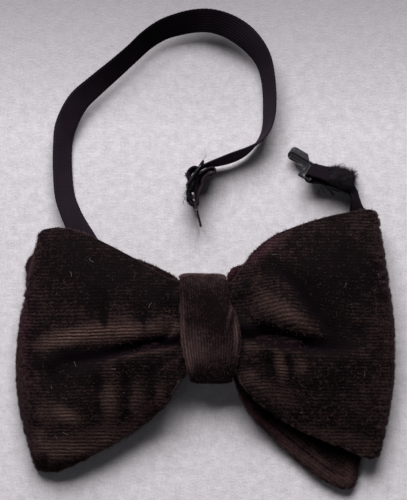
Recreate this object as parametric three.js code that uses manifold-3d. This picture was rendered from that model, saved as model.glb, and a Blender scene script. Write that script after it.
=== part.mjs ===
// Pre-tied velvet bow tie lying on its back, with its neck elastic unhooked and laid in an open loop.
// Millimetres, +Z up from the table, +X along the bow to the right wing, +Y towards the neck loop.
// The origin is the middle of the knot's flat back.

import * as THREE from 'three';
import { mergeVertices } from 'three/addons/utils/BufferGeometryUtils.js';
import Module from 'manifold-3d';

// Driving dimensions
const VELVET_WALL = 1.7; // thickness of one turned velvet layer
const PINCHED_HOLLOW = 0.5; // space left between a bow's two layers under the knot
const LAYER_GAP = 0.8; // air between the back bow and the front bow, and more where they are pleated
const PLEATED_GAP = 1.1;
const BACK_WING_THICKNESS = 7.2; // both layers and the hollow, in the middle of a wing
const FRONT_WING_THICKNESS = 10.2;
const OUTER_FOLD_DEPTH = 4.6; // how far in from a wing's end its two layers start to close
const BULGE_POWER = 1.25; // above 1 the corners stay straighter than an arc
const BULGE_LEAN = 0.7; // how far a wing end's widest place lies below its middle
const RIM_ROUNDING = 0.6; // how far a rim's middle stands out past its edges

const PLEATS = 3; // crests side by side under the knot
const PLEAT_HEIGHT = 1.0;
const PINCH_LEVEL = 4.5; // middle height of the lowest cloth layer under the knot
const PINCH_HALF_WIDTH = 11;
const PINCH_REACH = 26; // half width at which the pinch has faded out
const SWELL_REACH = 34; // half width at which a wing has its full thickness
const EDGE_TAPER = 0.55; // share of its swell that a wing loses towards its edges
const FOLD_START = 16; // half width from which the named folds have their full height
const TABLE_CLEARANCE = 0.15;
const STRAP_CLEARANCE = 1.85; // extra height over the elastic, in the upper half of the bow
const STRAP_SLOPE = { yLow: -22, yHigh: -6, xLeft: -60, xRight: -48 }; // where that height rises
const FRONT_DROOP = 1.6; // how far the front bow's right end sinks past the end of the back bow
const DROOP_START = 57;
const DROOP_END = 63;

const KNOT_HOLE = { yLow: -16.7, yHigh: 17.7, zLow: 1.5, zHigh: 15.3, squareness: 6 };
const KNOT_OUTSIDE = { yLow: -18.4, yHigh: 19.4, zLow: -0.6, zHigh: 18.2, squareness: 3.4 };
const KNOT_EDGE_WALL = 0.95; // wall left at the knot's side edges
const KNOT_BACK_SHARE = 0.84; // width of the band's back over that of its front
const KNOT_WIDENS = { from: 3, to: 9 }; // heights between which it gets its front's width
const KNOT_CROWN = 4; // power of the crown across the band: higher is flatter with rounder edges

const ELASTIC_WIDTH = 8.6;
const ELASTIC_THICKNESS = 1.0;
const METAL = 0.8; // sheet thickness of the clip, the eye plate and the slide
const FITTING_WIDTH = 10.8; // across the elastic
const SLOT_WIDTH = 9.2;

// Plan outline of the front bow: one row for each section, from the left end to the right end.
// bulge is how far the section's middle stands out to the right of its chord.
const FRONT_SECTIONS = [
  { topX: -60.8, topY: 32.8, lowX: -61.8, lowY: -47.0, bulge: -7.3 },
  { topX: -58.8, topY: 34.8, lowX: -59.6, lowY: -48.9, bulge: -6.4 },
  { topX: -52.0, topY: 35.3, lowX: -53.0, lowY: -48.8, bulge: -4.6 },
  { topX: -44.5, topY: 33.3, lowX: -45.0, lowY: -45.3, bulge: -2.8 },
  { topX: -37.0, topY: 29.9, lowX: -37.4, lowY: -41.4, bulge: -1.6 },
  { topX: -28.4, topY: 25.4, lowX: -28.8, lowY: -36.5, bulge: -0.8 },
  { topX: -21.0, topY: 21.0, lowX: -21.2, lowY: -31.0, bulge: 0 },
  { topX: -15.4, topY: 18.0, lowX: -15.4, lowY: -25.4, bulge: 0 },
  { topX: -12.0, topY: 16.8, lowX: -11.8, lowY: -19.2, bulge: 0 },
  { topX: -9.0, topY: 15.8, lowX: -9.0, lowY: -14.8, bulge: 0 },
  { topX: 0.0, topY: 15.8, lowX: 0.0, lowY: -14.8, bulge: 0 },
  { topX: 7.4, topY: 15.9, lowX: 8.9, lowY: -14.9, bulge: 0 },
  { topX: 10.2, topY: 19.6, lowX: 11.6, lowY: -19.2, bulge: 0 },
  { topX: 14.6, topY: 26.0, lowX: 16.2, lowY: -24.4, bulge: 0 },
  { topX: 21.2, topY: 31.7, lowX: 22.6, lowY: -29.1, bulge: 0.5 },
  { topX: 28.2, topY: 34.9, lowX: 29.4, lowY: -33.4, bulge: 1.2 },
  { topX: 37.4, topY: 38.0, lowX: 38.2, lowY: -37.5, bulge: 2.2 },
  { topX: 47.6, topY: 40.5, lowX: 47.8, lowY: -41.3, bulge: 3.6 },
  { topX: 56.6, topY: 41.8, lowX: 56.9, lowY: -44.8, bulge: 5.0 },
  { topX: 59.2, topY: 39.8, lowX: 59.8, lowY: -43.0, bulge: 5.5 },
];

// The back bow: its right wing hangs lower and ends sooner, its left wing lies almost under the front one.
const BACK_SECTIONS = [
  { topX: -65.0, topY: 22.8, lowX: -57.4, lowY: -42.0, bulge: -1.6 },
  { topX: -63.0, topY: 26.2, lowX: -55.4, lowY: -43.8, bulge: -1.8 },
  { topX: -52.0, topY: 28.8, lowX: -47.4, lowY: -42.6, bulge: -1.8 },
  { topX: -40.4, topY: 28.0, lowX: -37.6, lowY: -39.2, bulge: -0.8 },
  { topX: -29.0, topY: 25.6, lowX: -27.8, lowY: -33.8, bulge: 0 },
  { topX: -19.6, topY: 22.2, lowX: -19.4, lowY: -26.6, bulge: 0 },
  { topX: -12.8, topY: 18.6, lowX: -12.6, lowY: -18.8, bulge: 0 },
  { topX: -9.0, topY: 15.8, lowX: -9.0, lowY: -14.8, bulge: 0 },
  { topX: 0.0, topY: 15.8, lowX: 0.0, lowY: -14.8, bulge: 0 },
  { topX: 5.4, topY: 16.2, lowX: 8.2, lowY: -14.8, bulge: 0 },
  { topX: 7.4, topY: 21.0, lowX: 10.4, lowY: -22.4, bulge: 0 },
  { topX: 13.4, topY: 22.8, lowX: 14.4, lowY: -29.4, bulge: 0 },
  { topX: 21.4, topY: 26.2, lowX: 20.8, lowY: -36.2, bulge: 0 },
  { topX: 30.0, topY: 29.2, lowX: 28.4, lowY: -43.0, bulge: 0.4 },
  { topX: 38.6, topY: 31.2, lowX: 36.4, lowY: -50.0, bulge: 1.0 },
  { topX: 46.6, topY: 32.4, lowX: 44.6, lowY: -54.6, bulge: 2.2 },
  { topX: 51.2, topY: 32.6, lowX: 49.4, lowY: -55.2, bulge: 3.2 },
  { topX: 53.2, topY: 30.6, lowX: 51.4, lowY: -53.0, bulge: 3.4 },
];

// Folds and dents of the front bow's upper layer: from one point to another, half width and height
const FRONT_FOLDS = [
  { fromX: -8, fromY: -3.4, toX: -52, toY: -14.2, halfWidth: 5.6, height: -4.4 }, // left valley
  { fromX: -13, fromY: -9.6, toX: -46, toY: -22.0, halfWidth: 4.4, height: 1.3 }, // ridge under it
  { fromX: -13, fromY: 4.0, toX: -50, toY: 6.0, halfWidth: 5.0, height: 0.8 }, // ridge over it
  { fromX: -39, fromY: -20, toX: -39, toY: -40, halfWidth: 2.4, height: -1.3 }, // upright creases
  { fromX: -30, fromY: -17, toX: -29, toY: -33, halfWidth: 2.2, height: -1.1 },
  { fromX: -22, fromY: -15, toX: -20, toY: -27, halfWidth: 2.0, height: -0.9 },
  { fromX: 10, fromY: -1.6, toX: 33, toY: -3.0, halfWidth: 4.4, height: -4.6 }, // right hollow
  { fromX: 10, fromY: -7.8, toX: 62, toY: -10.6, halfWidth: 3.8, height: 1.5 }, // right ridge
  { fromX: 20, fromY: 20, toX: 42, toY: -4, halfWidth: 3.2, height: -2.0 }, // slanting crease
  { fromX: 17, fromY: 14, toX: 30, toY: 4, halfWidth: 3.4, height: 1.0 }, // swell left of it
  { fromX: 25, fromY: -10.5, toX: 29, toY: -17, halfWidth: 2.6, height: -1.5 }, // dent under the ridge
  { fromX: 44, fromY: 1, toX: 60, toY: -4, halfWidth: 3.0, height: -0.9 }, // faint crease at the right end
  { fromX: -52, fromY: 22, toX: -24, toY: 10, halfWidth: 8.0, height: 0.8 }, // swell of the upper left
  { fromX: 34, fromY: 24, toX: 54, toY: 18, halfWidth: 8.0, height: 0.9 }, // swell of the upper right
];

// The knot's side edges seen from the front
const KNOT_EDGES = [
  { y: -18.4, left: -6.9, right: 7.6 },
  { y: -16.4, left: -7.6, right: 8.3 },
  { y: -10.6, left: -8.9, right: 9.9 },
  { y: -3.1, left: -10.1, right: 10.8 },
  { y: 4.6, left: -10.4, right: 9.5 },
  { y: 9.5, left: -10.5, right: 7.4 },
  { y: 17.0, left: -10.7, right: 5.9 },
  { y: 19.4, left: -10.6, right: 5.0 },
];

// The elastic's middle line, from its cut end over the hook clip to its sewn end on the slide.
// facing is the compass angle of the line across the elastic, rise how steeply that line climbs.
const ELASTIC_ROUTE = [
  { x: 50.0, y: 53.0, z: 5.6, facing: 246, rise: 47 }, // cut end, on top of the clip's fold
  { x: 45.1, y: 54.4, z: 6.1, facing: 244, rise: 49 },
  { x: 40.7, y: 55.6, z: 6.1, facing: 242, rise: 51 },
  { x: 37.3, y: 56.5, z: 6.1, facing: 240, rise: 52 },
  { x: 36.0, y: 57.0, z: 5.9, facing: 239, rise: 52 },
  { x: 35.0, y: 56.4, z: 5.0, facing: 239, rise: 52 }, // through the clip's slot
  { x: 35.1, y: 55.2, z: 4.25, facing: 239, rise: 52 },
  { x: 36.2, y: 54.4, z: 4.15, facing: 239, rise: 52 },
  { x: 40.0, y: 54.1, z: 4.6, facing: 243, rise: 51 },
  { x: 44.5, y: 53.0, z: 4.6, facing: 243, rise: 51 },
  { x: 48.3, y: 51.2, z: 4.6, facing: 235, rise: 57 },
  { x: 50.5, y: 49.0, z: 4.7, facing: 219, rise: 65 },
  { x: 51.4, y: 46.1, z: 4.5, facing: 199, rise: 66 },
  { x: 51.8, y: 42.4, z: 3.9, facing: 182, rise: 50 },
  { x: 52.0, y: 39.4, z: 2.4, facing: 176, rise: 17 },
  { x: 50.6, y: 35.0, z: 0.95, facing: 162, rise: 2 }, // behind the right wing
  { x: 46.8, y: 29.4, z: 0.75, facing: 142, rise: 0 },
  { x: 37.8, y: 20.8, z: 0.75, facing: 129, rise: 0 },
  { x: 26.0, y: 12.4, z: 0.75, facing: 122, rise: 0 },
  { x: 17.6, y: 7.4, z: 1.3, facing: 117, rise: 0 },
  { x: 11.5, y: 4.6, z: 2.35, facing: 112, rise: 0 },
  { x: 0.0, y: 2.0, z: 2.35, facing: 88, rise: 0 }, // behind the knot
  { x: -11.5, y: 5.4, z: 2.35, facing: 66, rise: 0 },
  { x: -18.0, y: 8.8, z: 1.3, facing: 61, rise: 0 },
  { x: -26.0, y: 13.6, z: 0.75, facing: 57, rise: 0 },
  { x: -34.6, y: 20.0, z: 0.75, facing: 50, rise: 0 },
  { x: -41.2, y: 27.2, z: 0.8, facing: 38, rise: 0 },
  { x: -45.0, y: 33.2, z: 1.2, facing: 30, rise: -6 }, // out from behind the left wing
  { x: -47.4, y: 37.6, z: 2.0, facing: 24, rise: -16 },
  { x: -49.6, y: 42.4, z: 2.8, facing: 17, rise: -26 },
  { x: -51.4, y: 48.0, z: 3.4, facing: 9, rise: -34 },
  { x: -52.2, y: 57.0, z: 3.7, facing: 1, rise: -40 },
  { x: -52.1, y: 66.0, z: 4.4, facing: -3, rise: -40 },
  { x: -50.7, y: 73.2, z: 5.4, facing: -18, rise: -40 },
  { x: -46.4, y: 80.8, z: 6.4, facing: -37, rise: -40 },
  { x: -40.4, y: 86.6, z: 7.1, facing: -48, rise: -41 },
  { x: -33.6, y: 92.2, z: 7.5, facing: -50, rise: -40 },
  { x: -27.2, y: 97.6, z: 7.6, facing: -51, rise: -34 },
  { x: -22.4, y: 102.0, z: 7.4, facing: -54, rise: -26 },
  { x: -16.8, y: 105.8, z: 7.0, facing: -64, rise: -16 },
  { x: -11.2, y: 108.0, z: 6.6, facing: -76, rise: -8 },
  { x: -5.6, y: 109.1, z: 6.4, facing: -84, rise: -6 },
  { x: 0.0, y: 109.2, z: 6.4, facing: -94, rise: -9 },
  { x: 5.6, y: 107.8, z: 6.6, facing: -109, rise: -16 },
  { x: 10.6, y: 105.2, z: 6.9, facing: -125, rise: -27 },
  { x: 14.6, y: 101.8, z: 7.0, facing: -140, rise: -39 },
  { x: 17.7, y: 97.6, z: 6.8, facing: -153, rise: -49 },
  { x: 19.5, y: 93.6, z: 6.5, facing: -164, rise: -54 },
  { x: 20.7, y: 88.2, z: 6.1, facing: -173, rise: -57 },
  { x: 21.1, y: 82.4, z: 5.8, facing: -180, rise: -58 },
  { x: 21.0, y: 77.0, z: 5.6, facing: -184, rise: -60 },
  { x: 20.4, y: 72.8, z: 5.4, facing: -193, rise: -66 },
  { x: 19.2, y: 69.6, z: 5.3, facing: -205, rise: -74 },
  { x: 17.2, y: 66.8, z: 5.3, facing: -219, rise: -83 },
  { x: 14.4, y: 64.5, z: 5.4, facing: -235, rise: -95 },
  { x: 11.2, y: 62.6, z: 5.4, facing: -245, rise: -105 },
  { x: 7.1, y: 60.9, z: 5.5, facing: -249, rise: -108 },
  { x: 2.8, y: 59.5, z: 5.5, facing: -251, rise: -103 },
  { x: -1.0, y: 58.5, z: 5.5, facing: -250, rise: -94 },
  { x: -3.0, y: 57.6, z: 5.5, facing: -235, rise: -90 },
  { x: -4.3, y: 57.4, z: 5.5, facing: -250, rise: -90 }, // through the slide's first window
  { x: -5.4, y: 57.7, z: 5.5, facing: -265, rise: -90 },
  { x: -6.8, y: 57.2, z: 5.5, facing: -235, rise: -90 },
  { x: -7.8, y: 56.0, z: 5.5, facing: -205, rise: -90 },
  { x: -7.8, y: 54.5, z: 5.5, facing: -175, rise: -90 },
  { x: -6.9, y: 53.2, z: 5.5, facing: -145, rise: -90 }, // back through its second window
  { x: -6.2, y: 51.8, z: 5.5, facing: -165, rise: -90 },
  { x: -6.9, y: 50.0, z: 5.5, facing: -195, rise: -90 },
  { x: -7.6, y: 48.0, z: 5.5, facing: -190, rise: -90 },
  { x: -7.2, y: 45.9, z: 5.5, facing: -170, rise: -90 },
  { x: -6.3, y: 44.5, z: 5.5, facing: -140, rise: -90 },
  { x: -5.2, y: 44.2, z: 5.5, facing: -90, rise: -90 }, // through the eye plate's slot
  { x: -4.4, y: 45.0, z: 5.5, facing: -40, rise: -90 },
  { x: -4.2, y: 46.6, z: 5.5, facing: -10, rise: -90 },
  { x: -3.5, y: 49.0, z: 5.5, facing: -20, rise: -90 },
  { x: -2.4, y: 51.0, z: 5.5, facing: -20, rise: -90 },
  { x: -2.3, y: 52.9, z: 5.5, facing: 5, rise: -90 },
  { x: -1.5, y: 54.4, z: 5.5, facing: -30, rise: -90 },
  { x: 0.0, y: 55.0, z: 5.5, facing: -60, rise: -90 },
  { x: 1.4, y: 55.5, z: 5.5, facing: -60, rise: -90 },
  { x: 1.9, y: 56.5, z: 5.5, facing: 0, rise: -90 }, // slack curl beside the slide
  { x: 1.1, y: 57.4, z: 5.5, facing: 80, rise: -90 },
  { x: -0.3, y: 57.1, z: 5.5, facing: 115, rise: -90 },
  { x: -1.7, y: 56.4, z: 5.5, facing: 115, rise: -90 },
  { x: -3.0, y: 55.6, z: 5.5, facing: 120, rise: -90 },
  { x: -4.1, y: 54.8, z: 5.5, facing: 130, rise: -90 }, // sewn end at the slide's middle bar
];

const SLIDE = { x: -5.3, y: 55.35, z: 5.5, length: 10.7, bar: 1.0, heading: -124.2 };
const EYE_PLATE = { x: -6.25, y: 48.36, z: 5.5, length: 12.1, heading: -75.35 };
const CLIP = { x: 35.3, y: 56.2, z: 5.0, heading: 149, roll: 52 };

// Small helpers on numbers and tables
const clamp = THREE.MathUtils.clamp;
const mix = THREE.MathUtils.lerp;
const step = THREE.MathUtils.smoothstep;
const radians = THREE.MathUtils.degToRad;

// Value of a table's column at a place along its key column, on a smooth curve through the rows
function column(rows, key, name, place) {
  const last = rows.length - 1;
  let i = 0;
  while (i < last - 1 && rows[i + 1][key] < place) i += 1;
  const before = rows[Math.max(i - 1, 0)];
  const here = rows[i];
  const next = rows[i + 1];
  const after = rows[Math.min(i + 2, last)];
  const span = next[key] - here[key];
  const t = clamp((place - here[key]) / span, 0, 1);
  const slopeHere = ((next[name] - before[name]) / (next[key] - before[key])) * span;
  const slopeNext = ((after[name] - here[name]) / (after[key] - here[key])) * span;
  const t2 = t * t;
  const t3 = t2 * t;
  return (
    (2 * t3 - 3 * t2 + 1) * here[name] +
    (t3 - 2 * t2 + t) * slopeHere +
    (3 * t2 - 2 * t3) * next[name] +
    (t3 - t2) * slopeNext
  );
}

// Closed body from a grid of points; both directions close on themselves, or the rows end in flat caps
function gridBody(rows, capped = false) {
  const count = rows[0].length;
  const positions = rows.flat().flatMap((p) => [p.x, p.y, p.z]);
  const index = [];
  const bands = capped ? rows.length - 1 : rows.length;
  for (let r = 0; r < bands; r += 1) {
    const nextRow = (r + 1) % rows.length;
    for (let c = 0; c < count; c += 1) {
      const nextColumn = (c + 1) % count;
      const a = r * count + c;
      const b = r * count + nextColumn;
      const d = nextRow * count + c;
      const e = nextRow * count + nextColumn;
      index.push(a, b, e, a, e, d);
    }
  }
  if (capped) {
    const end = (rows.length - 1) * count;
    for (let c = 1; c < count - 1; c += 1) {
      index.push(0, c + 1, c);
      index.push(end, end + c, end + c + 1);
    }
  }
  if (signedVolume(positions, index) < 0) index.reverse();
  const geometry = new THREE.BufferGeometry();
  geometry.setAttribute('position', new THREE.Float32BufferAttribute(positions, 3));
  geometry.setIndex(index);
  geometry.computeVertexNormals();
  return geometry;
}

// Volume enclosed by a closed surface, negative where its faces point inwards
function signedVolume(positions, index) {
  const corner = (i) => new THREE.Vector3().fromArray(positions, 3 * i);
  let sum = 0;
  for (let i = 0; i < index.length; i += 3) {
    sum += corner(index[i]).dot(corner(index[i + 1]).cross(corner(index[i + 2]))) / 6;
  }
  return sum;
}

// Height functions over the table, shared by both bows so that their layers nest

// Place between the front bow's lower edge, -1, and its upper edge, +1
function fanPlace(x, y) {
  const top = column(FRONT_SECTIONS, 'topX', 'topY', x);
  const low = column(FRONT_SECTIONS, 'lowX', 'lowY', x);
  return clamp((2 * y - top - low) / (top - low), -1.2, 1.2);
}

// 1 under the knot, fading to 0 out in the wings
function pinch(x, reach = PINCH_REACH) {
  return 1 - step(Math.abs(x), PINCH_HALF_WIDTH, reach);
}

// Underside of the back bow: near the table, lifted over the elastic and at the knot
function underside(x, y) {
  const inUpperHalf = step(y, STRAP_SLOPE.yLow, STRAP_SLOPE.yHigh);
  const overStrap = inUpperHalf * step(x, STRAP_SLOPE.xLeft, STRAP_SLOPE.xRight);
  const wing = TABLE_CLEARANCE + STRAP_CLEARANCE * overStrap;
  const pleat = PLEAT_HEIGHT * Math.cos(Math.PI * PLEATS * fanPlace(x, y));
  return mix(wing, PINCH_LEVEL + pleat, pinch(x));
}

// Thickness of a bow: both layers and the hollow, less towards its upper and lower edges
function bowThickness(x, y, wingThickness) {
  const pinched = 2 * VELVET_WALL + PINCHED_HOLLOW;
  const swell = (1 - pinch(x, SWELL_REACH)) * (1 - EDGE_TAPER * fanPlace(x, y) ** 4);
  return pinched + (wingThickness - pinched) * clamp(swell, 0, 1);
}

function backTop(x, y) {
  return underside(x, y) + bowThickness(x, y, BACK_WING_THICKNESS);
}

function frontUnderside(x, y) {
  const droop = FRONT_DROOP * step(x, DROOP_START, DROOP_END);
  return backTop(x, y) + mix(LAYER_GAP, PLEATED_GAP, pinch(x)) - droop;
}

// Sum of the named folds at a place on the front bow
function foldHeight(x, y) {
  let height = 0;
  for (const fold of FRONT_FOLDS) {
    const alongX = fold.toX - fold.fromX;
    const alongY = fold.toY - fold.fromY;
    const share = ((x - fold.fromX) * alongX + (y - fold.fromY) * alongY) / (alongX ** 2 + alongY ** 2);
    const t = clamp(share, 0, 1);
    const away = Math.hypot(x - fold.fromX - t * alongX, y - fold.fromY - t * alongY);
    height += fold.height * Math.exp(-((away / fold.halfWidth) ** 2));
  }
  return height;
}

function frontTop(x, y) {
  const under = frontUnderside(x, y);
  const least = under + 2 * VELVET_WALL + PINCHED_HOLLOW;
  const folds = foldHeight(x, y) * (1 - pinch(x, FOLD_START));
  const free = under + bowThickness(x, y, FRONT_WING_THICKNESS) + folds;
  return Math.max(least, free);
}

// One bow: a band of cloth closed to a loop. Its ring of stations runs over the top layer from left to
// right and back under the bottom layer. Its rows run from the lower rim to the upper rim, outside and then
// inside.
const STATIONS = 22;
const FOLD_ANGLES = [0, 30, 60];
const OUTSIDE_ROWS = [0, 0.05, 0.15, 0.26, 0.37, 0.47, 0.56, 0.65, 0.75, 0.86, 0.95, 1];
const INSIDE_ROWS = [1, 0.86, 0.68, 0.5, 0.32, 0.14, 0];

function withDistances(sections) {
  let along = 0;
  return sections.map((section, i) => {
    const middle = (s) => new THREE.Vector2((s.topX + s.lowX) / 2 + s.bulge, (s.topY + s.lowY) / 2);
    if (i > 0) along += middle(section).distanceTo(middle(sections[i - 1]));
    return { ...section, along };
  });
}

function bowBody(plainSections, lowFace, highFace) {
  const sections = withDistances(plainSections);
  const length = sections[sections.length - 1].along;

  // Point of the loop's outside at a distance along the bow and a place v up the band, on the top or the
  // bottom layer
  function outsidePoint(along, v, layer, inset) {
    const topX = column(sections, 'along', 'topX', along);
    const topY = column(sections, 'along', 'topY', along);
    const lowX = column(sections, 'along', 'lowX', along);
    const lowY = column(sections, 'along', 'lowY', along);
    const bow = (4 * v * (1 - v)) ** BULGE_POWER * (1 + BULGE_LEAN * (0.5 - v));
    const bulge = column(sections, 'along', 'bulge', along) * bow;
    const x = mix(lowX, topX, v) + bulge;
    const y = mix(lowY, topY, v);
    const fromEnd = Math.min(along, length - along) - inset;
    const depth = OUTER_FOLD_DEPTH - inset;
    const open = fromEnd < depth ? Math.sqrt(Math.max(0, 1 - (1 - fromEnd / depth) ** 2)) : 1;
    const high = highFace(x, y) - inset;
    const low = lowFace(x, y) + inset;
    const middle = (high + low) / 2;
    return new THREE.Vector3(x, y, middle + layer * open * (high - middle));
  }

  function ring(v, inset) {
    const depth = OUTER_FOLD_DEPTH - inset;
    const fold = FOLD_ANGLES.map((angle) => inset + depth * (1 - Math.cos(radians(angle))));
    const inner = length - 2 * OUTER_FOLD_DEPTH;
    const plain = Array.from({ length: STATIONS + 1 }, (_, i) => OUTER_FOLD_DEPTH + (inner * i) / STATIONS);
    const stations = [...fold, ...plain, ...fold.map((d) => length - d).reverse()];
    const top = stations.map((along) => outsidePoint(along, v, 1, inset));
    const bottom = stations.slice(1, -1).reverse().map((along) => outsidePoint(along, v, -1, inset));
    return [...top, ...bottom];
  }

  // Middle line of a rim, standing a little out of the band
  function rim(v) {
    const outer = ring(v, 0);
    const inner = ring(v, VELVET_WALL);
    const away = v > 0.5 ? RIM_ROUNDING : -RIM_ROUNDING;
    const outwards = new THREE.Vector3(0, away, 0);
    return outer.map((p, i) => p.clone().lerp(inner[i], 0.5).add(outwards));
  }

  const rows = [
    ...OUTSIDE_ROWS.map((v) => ring(v, 0)),
    rim(1),
    ...INSIDE_ROWS.map((v) => ring(v, VELVET_WALL)),
    rim(0),
  ];
  return gridBody(rows);
}

// The knot: a band round both bows, narrower at its back, its front crowned between rolled side edges
const KNOT_STEPS = 36;
const KNOT_ACROSS = [0, 0.07, 0.2, 0.4, 0.6, 0.8, 0.93, 1];

// Point of a rounded rectangle in the plane across the bow, at an angle from +Y towards +Z
function roundedPoint(frame, angle) {
  const { yLow, yHigh, zLow, zHigh, squareness } = frame;
  const c = Math.cos(angle);
  const s = Math.sin(angle);
  const reach = (Math.abs(c) ** squareness + Math.abs(s) ** squareness) ** (-1 / squareness);
  return {
    y: (yLow + yHigh) / 2 + ((yHigh - yLow) / 2) * c * reach,
    z: (zLow + zHigh) / 2 + ((zHigh - zLow) / 2) * s * reach,
  };
}

function knotBody() {
  function point(angle, across, inside) {
    const hole = roundedPoint(KNOT_HOLE, angle);
    const outside = roundedPoint(KNOT_OUTSIDE, angle);
    const front = step(outside.z, KNOT_WIDENS.from, KNOT_WIDENS.to);
    const share = mix(KNOT_BACK_SHARE, 1, front);
    const left = share * column(KNOT_EDGES, 'y', 'left', outside.y);
    const right = share * column(KNOT_EDGES, 'y', 'right', outside.y);
    const x = mix(left, right, across);
    if (inside) return new THREE.Vector3(x, hole.y, hole.z);
    const wall = Math.hypot(outside.y - hole.y, outside.z - hole.z);
    const crown = (1 - Math.abs(2 * across - 1) ** KNOT_CROWN) ** 0.5;
    const out = mix(KNOT_EDGE_WALL / wall, 1, crown);
    const z = mix(hole.z, outside.z, out);
    return new THREE.Vector3(x, mix(hole.y, outside.y, out), Math.max(0, z));
  }
  function ring(across, inside) {
    const angles = Array.from({ length: KNOT_STEPS }, (_, i) => (2 * Math.PI * i) / KNOT_STEPS);
    return angles.map((angle) => point(angle, across, inside));
  }
  return gridBody([...KNOT_ACROSS.map((a) => ring(a, false)), ring(1, true), ring(0.5, true), ring(0, true)]);
}

// The elastic: a flat band carried along its route, turned so that its width follows the stated directions
const STEPS_PER_ROW = 2;

function elasticBody() {
  const points = ELASTIC_ROUTE.map((row) => new THREE.Vector3(row.x, row.y, row.z));
  const across = ELASTIC_ROUTE.map((row) => {
    const flat = Math.cos(radians(row.rise));
    const facing = radians(row.facing);
    return new THREE.Vector3(flat * Math.cos(facing), flat * Math.sin(facing), Math.sin(radians(row.rise)));
  });
  const route = new THREE.CatmullRomCurve3(points, false, 'catmullrom', 0.5);
  const widths = new THREE.CatmullRomCurve3(across, false, 'catmullrom', 0.5);
  const steps = STEPS_PER_ROW * (points.length - 1);
  const rows = [];
  for (let i = 0; i <= steps; i += 1) {
    const place = route.getPoint(i / steps);
    const tangent = route.getTangent(i / steps);
    const width = widths.getPoint(i / steps);
    width.addScaledVector(tangent, -width.dot(tangent)).normalize();
    const face = tangent.clone().cross(width);
    width.multiplyScalar(ELASTIC_WIDTH / 2);
    face.multiplyScalar(ELASTIC_THICKNESS / 2);
    const corner = (w, t) => place.clone().addScaledVector(width, w).addScaledVector(face, t);
    rows.push([corner(-1, -1), corner(1, -1), corner(1, 1), corner(-1, 1)]);
  }
  return gridBody(rows, true);
}

// Joins and cuts closed meshes
const wasm = await Module();
wasm.setup();

function solidOf(geometry) {
  const bare = geometry.clone();
  bare.deleteAttribute('normal');
  bare.deleteAttribute('uv');
  const merged = mergeVertices(bare, 1e-4);
  return new wasm.Manifold(
    new wasm.Mesh({
      numProp: 3,
      vertProperties: new Float32Array(merged.attributes.position.array),
      triVerts: new Uint32Array(merged.index.array),
    }),
  );
}

function geometryOf(solid) {
  const mesh = solid.getMesh();
  const geometry = new THREE.BufferGeometry();
  geometry.setAttribute('position', new THREE.Float32BufferAttribute(mesh.vertProperties, 3));
  geometry.setIndex([...mesh.triVerts]);
  geometry.computeVertexNormals();
  return geometry;
}

const FLAT_CUT = { bevelEnabled: false, curveSegments: 6 };

// Flat plate in the XY plane, its sheet centred on z = 0
function plate(shape, thickness = METAL) {
  const geometry = new THREE.ExtrudeGeometry(shape, { ...FLAT_CUT, depth: thickness });
  return solidOf(geometry.translate(0, 0, -thickness / 2));
}

// Block from x0 to x1, centred on y = 0 and z = 0; as a slot it is cut right through a plate
function block(x0, x1, width, thickness = 3 * METAL) {
  return solidOf(new THREE.BoxGeometry(x1 - x0, width, thickness).translate((x0 + x1) / 2, 0, 0));
}

// Three-bar slide: two windows side by side
function slideBody() {
  const half = SLIDE.length / 2;
  return geometryOf(
    block(-half, half, FITTING_WIDTH, METAL)
      .subtract(block(-half + SLIDE.bar, -SLIDE.bar / 2, SLOT_WIDTH))
      .subtract(block(SLIDE.bar / 2, half - SLIDE.bar, SLOT_WIDTH)),
  );
}

// Eye plate: a strap slot at its wide end, shoulders, and an eye for the hook in its narrow end
const EYE = { slotStart: 2.5, slotEnd: 5.1, shoulder: 6.3, neck: 7.4, eyeStart: 7.8, eyeEnd: 10.6 };
const EYE_WIDTH = 7.6;
const EYE_OPENING = 5.2;
const EYE_CORNER = 1.6;

function eyePlateBody() {
  const end = EYE_PLATE.length;
  const half = EYE_WIDTH / 2;
  const shape = new THREE.Shape();
  shape.moveTo(0, -FITTING_WIDTH / 2);
  shape.lineTo(EYE.shoulder, -FITTING_WIDTH / 2);
  shape.lineTo(EYE.neck, -half);
  shape.lineTo(end - EYE_CORNER, -half);
  shape.quadraticCurveTo(end, -half, end, -half + EYE_CORNER);
  shape.lineTo(end, half - EYE_CORNER);
  shape.quadraticCurveTo(end, half, end - EYE_CORNER, half);
  shape.lineTo(EYE.neck, half);
  shape.lineTo(EYE.shoulder, FITTING_WIDTH / 2);
  shape.lineTo(0, FITTING_WIDTH / 2);
  return geometryOf(
    plate(shape)
      .subtract(block(EYE.slotStart, EYE.slotEnd, SLOT_WIDTH))
      .subtract(block(EYE.eyeStart, EYE.eyeEnd, EYE_OPENING)),
  );
}

// Hook clip: a slotted frame whose tongue runs out along +X and folds back over itself
const HOOK = { barStart: -1.9, slotStart: -0.9, slotEnd: 1.6, frameEnd: 3.0, bend: 8.1, back: 1.9 };
const HOOK_WIDTH = 4.6;
const HOOK_GAP = 2.0;
const HOOK_SIDE = -3.0; // middle of the tongue across the frame
const HOOK_LAP = 0.4; // how far past the slot the tongue runs into the frame

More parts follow.
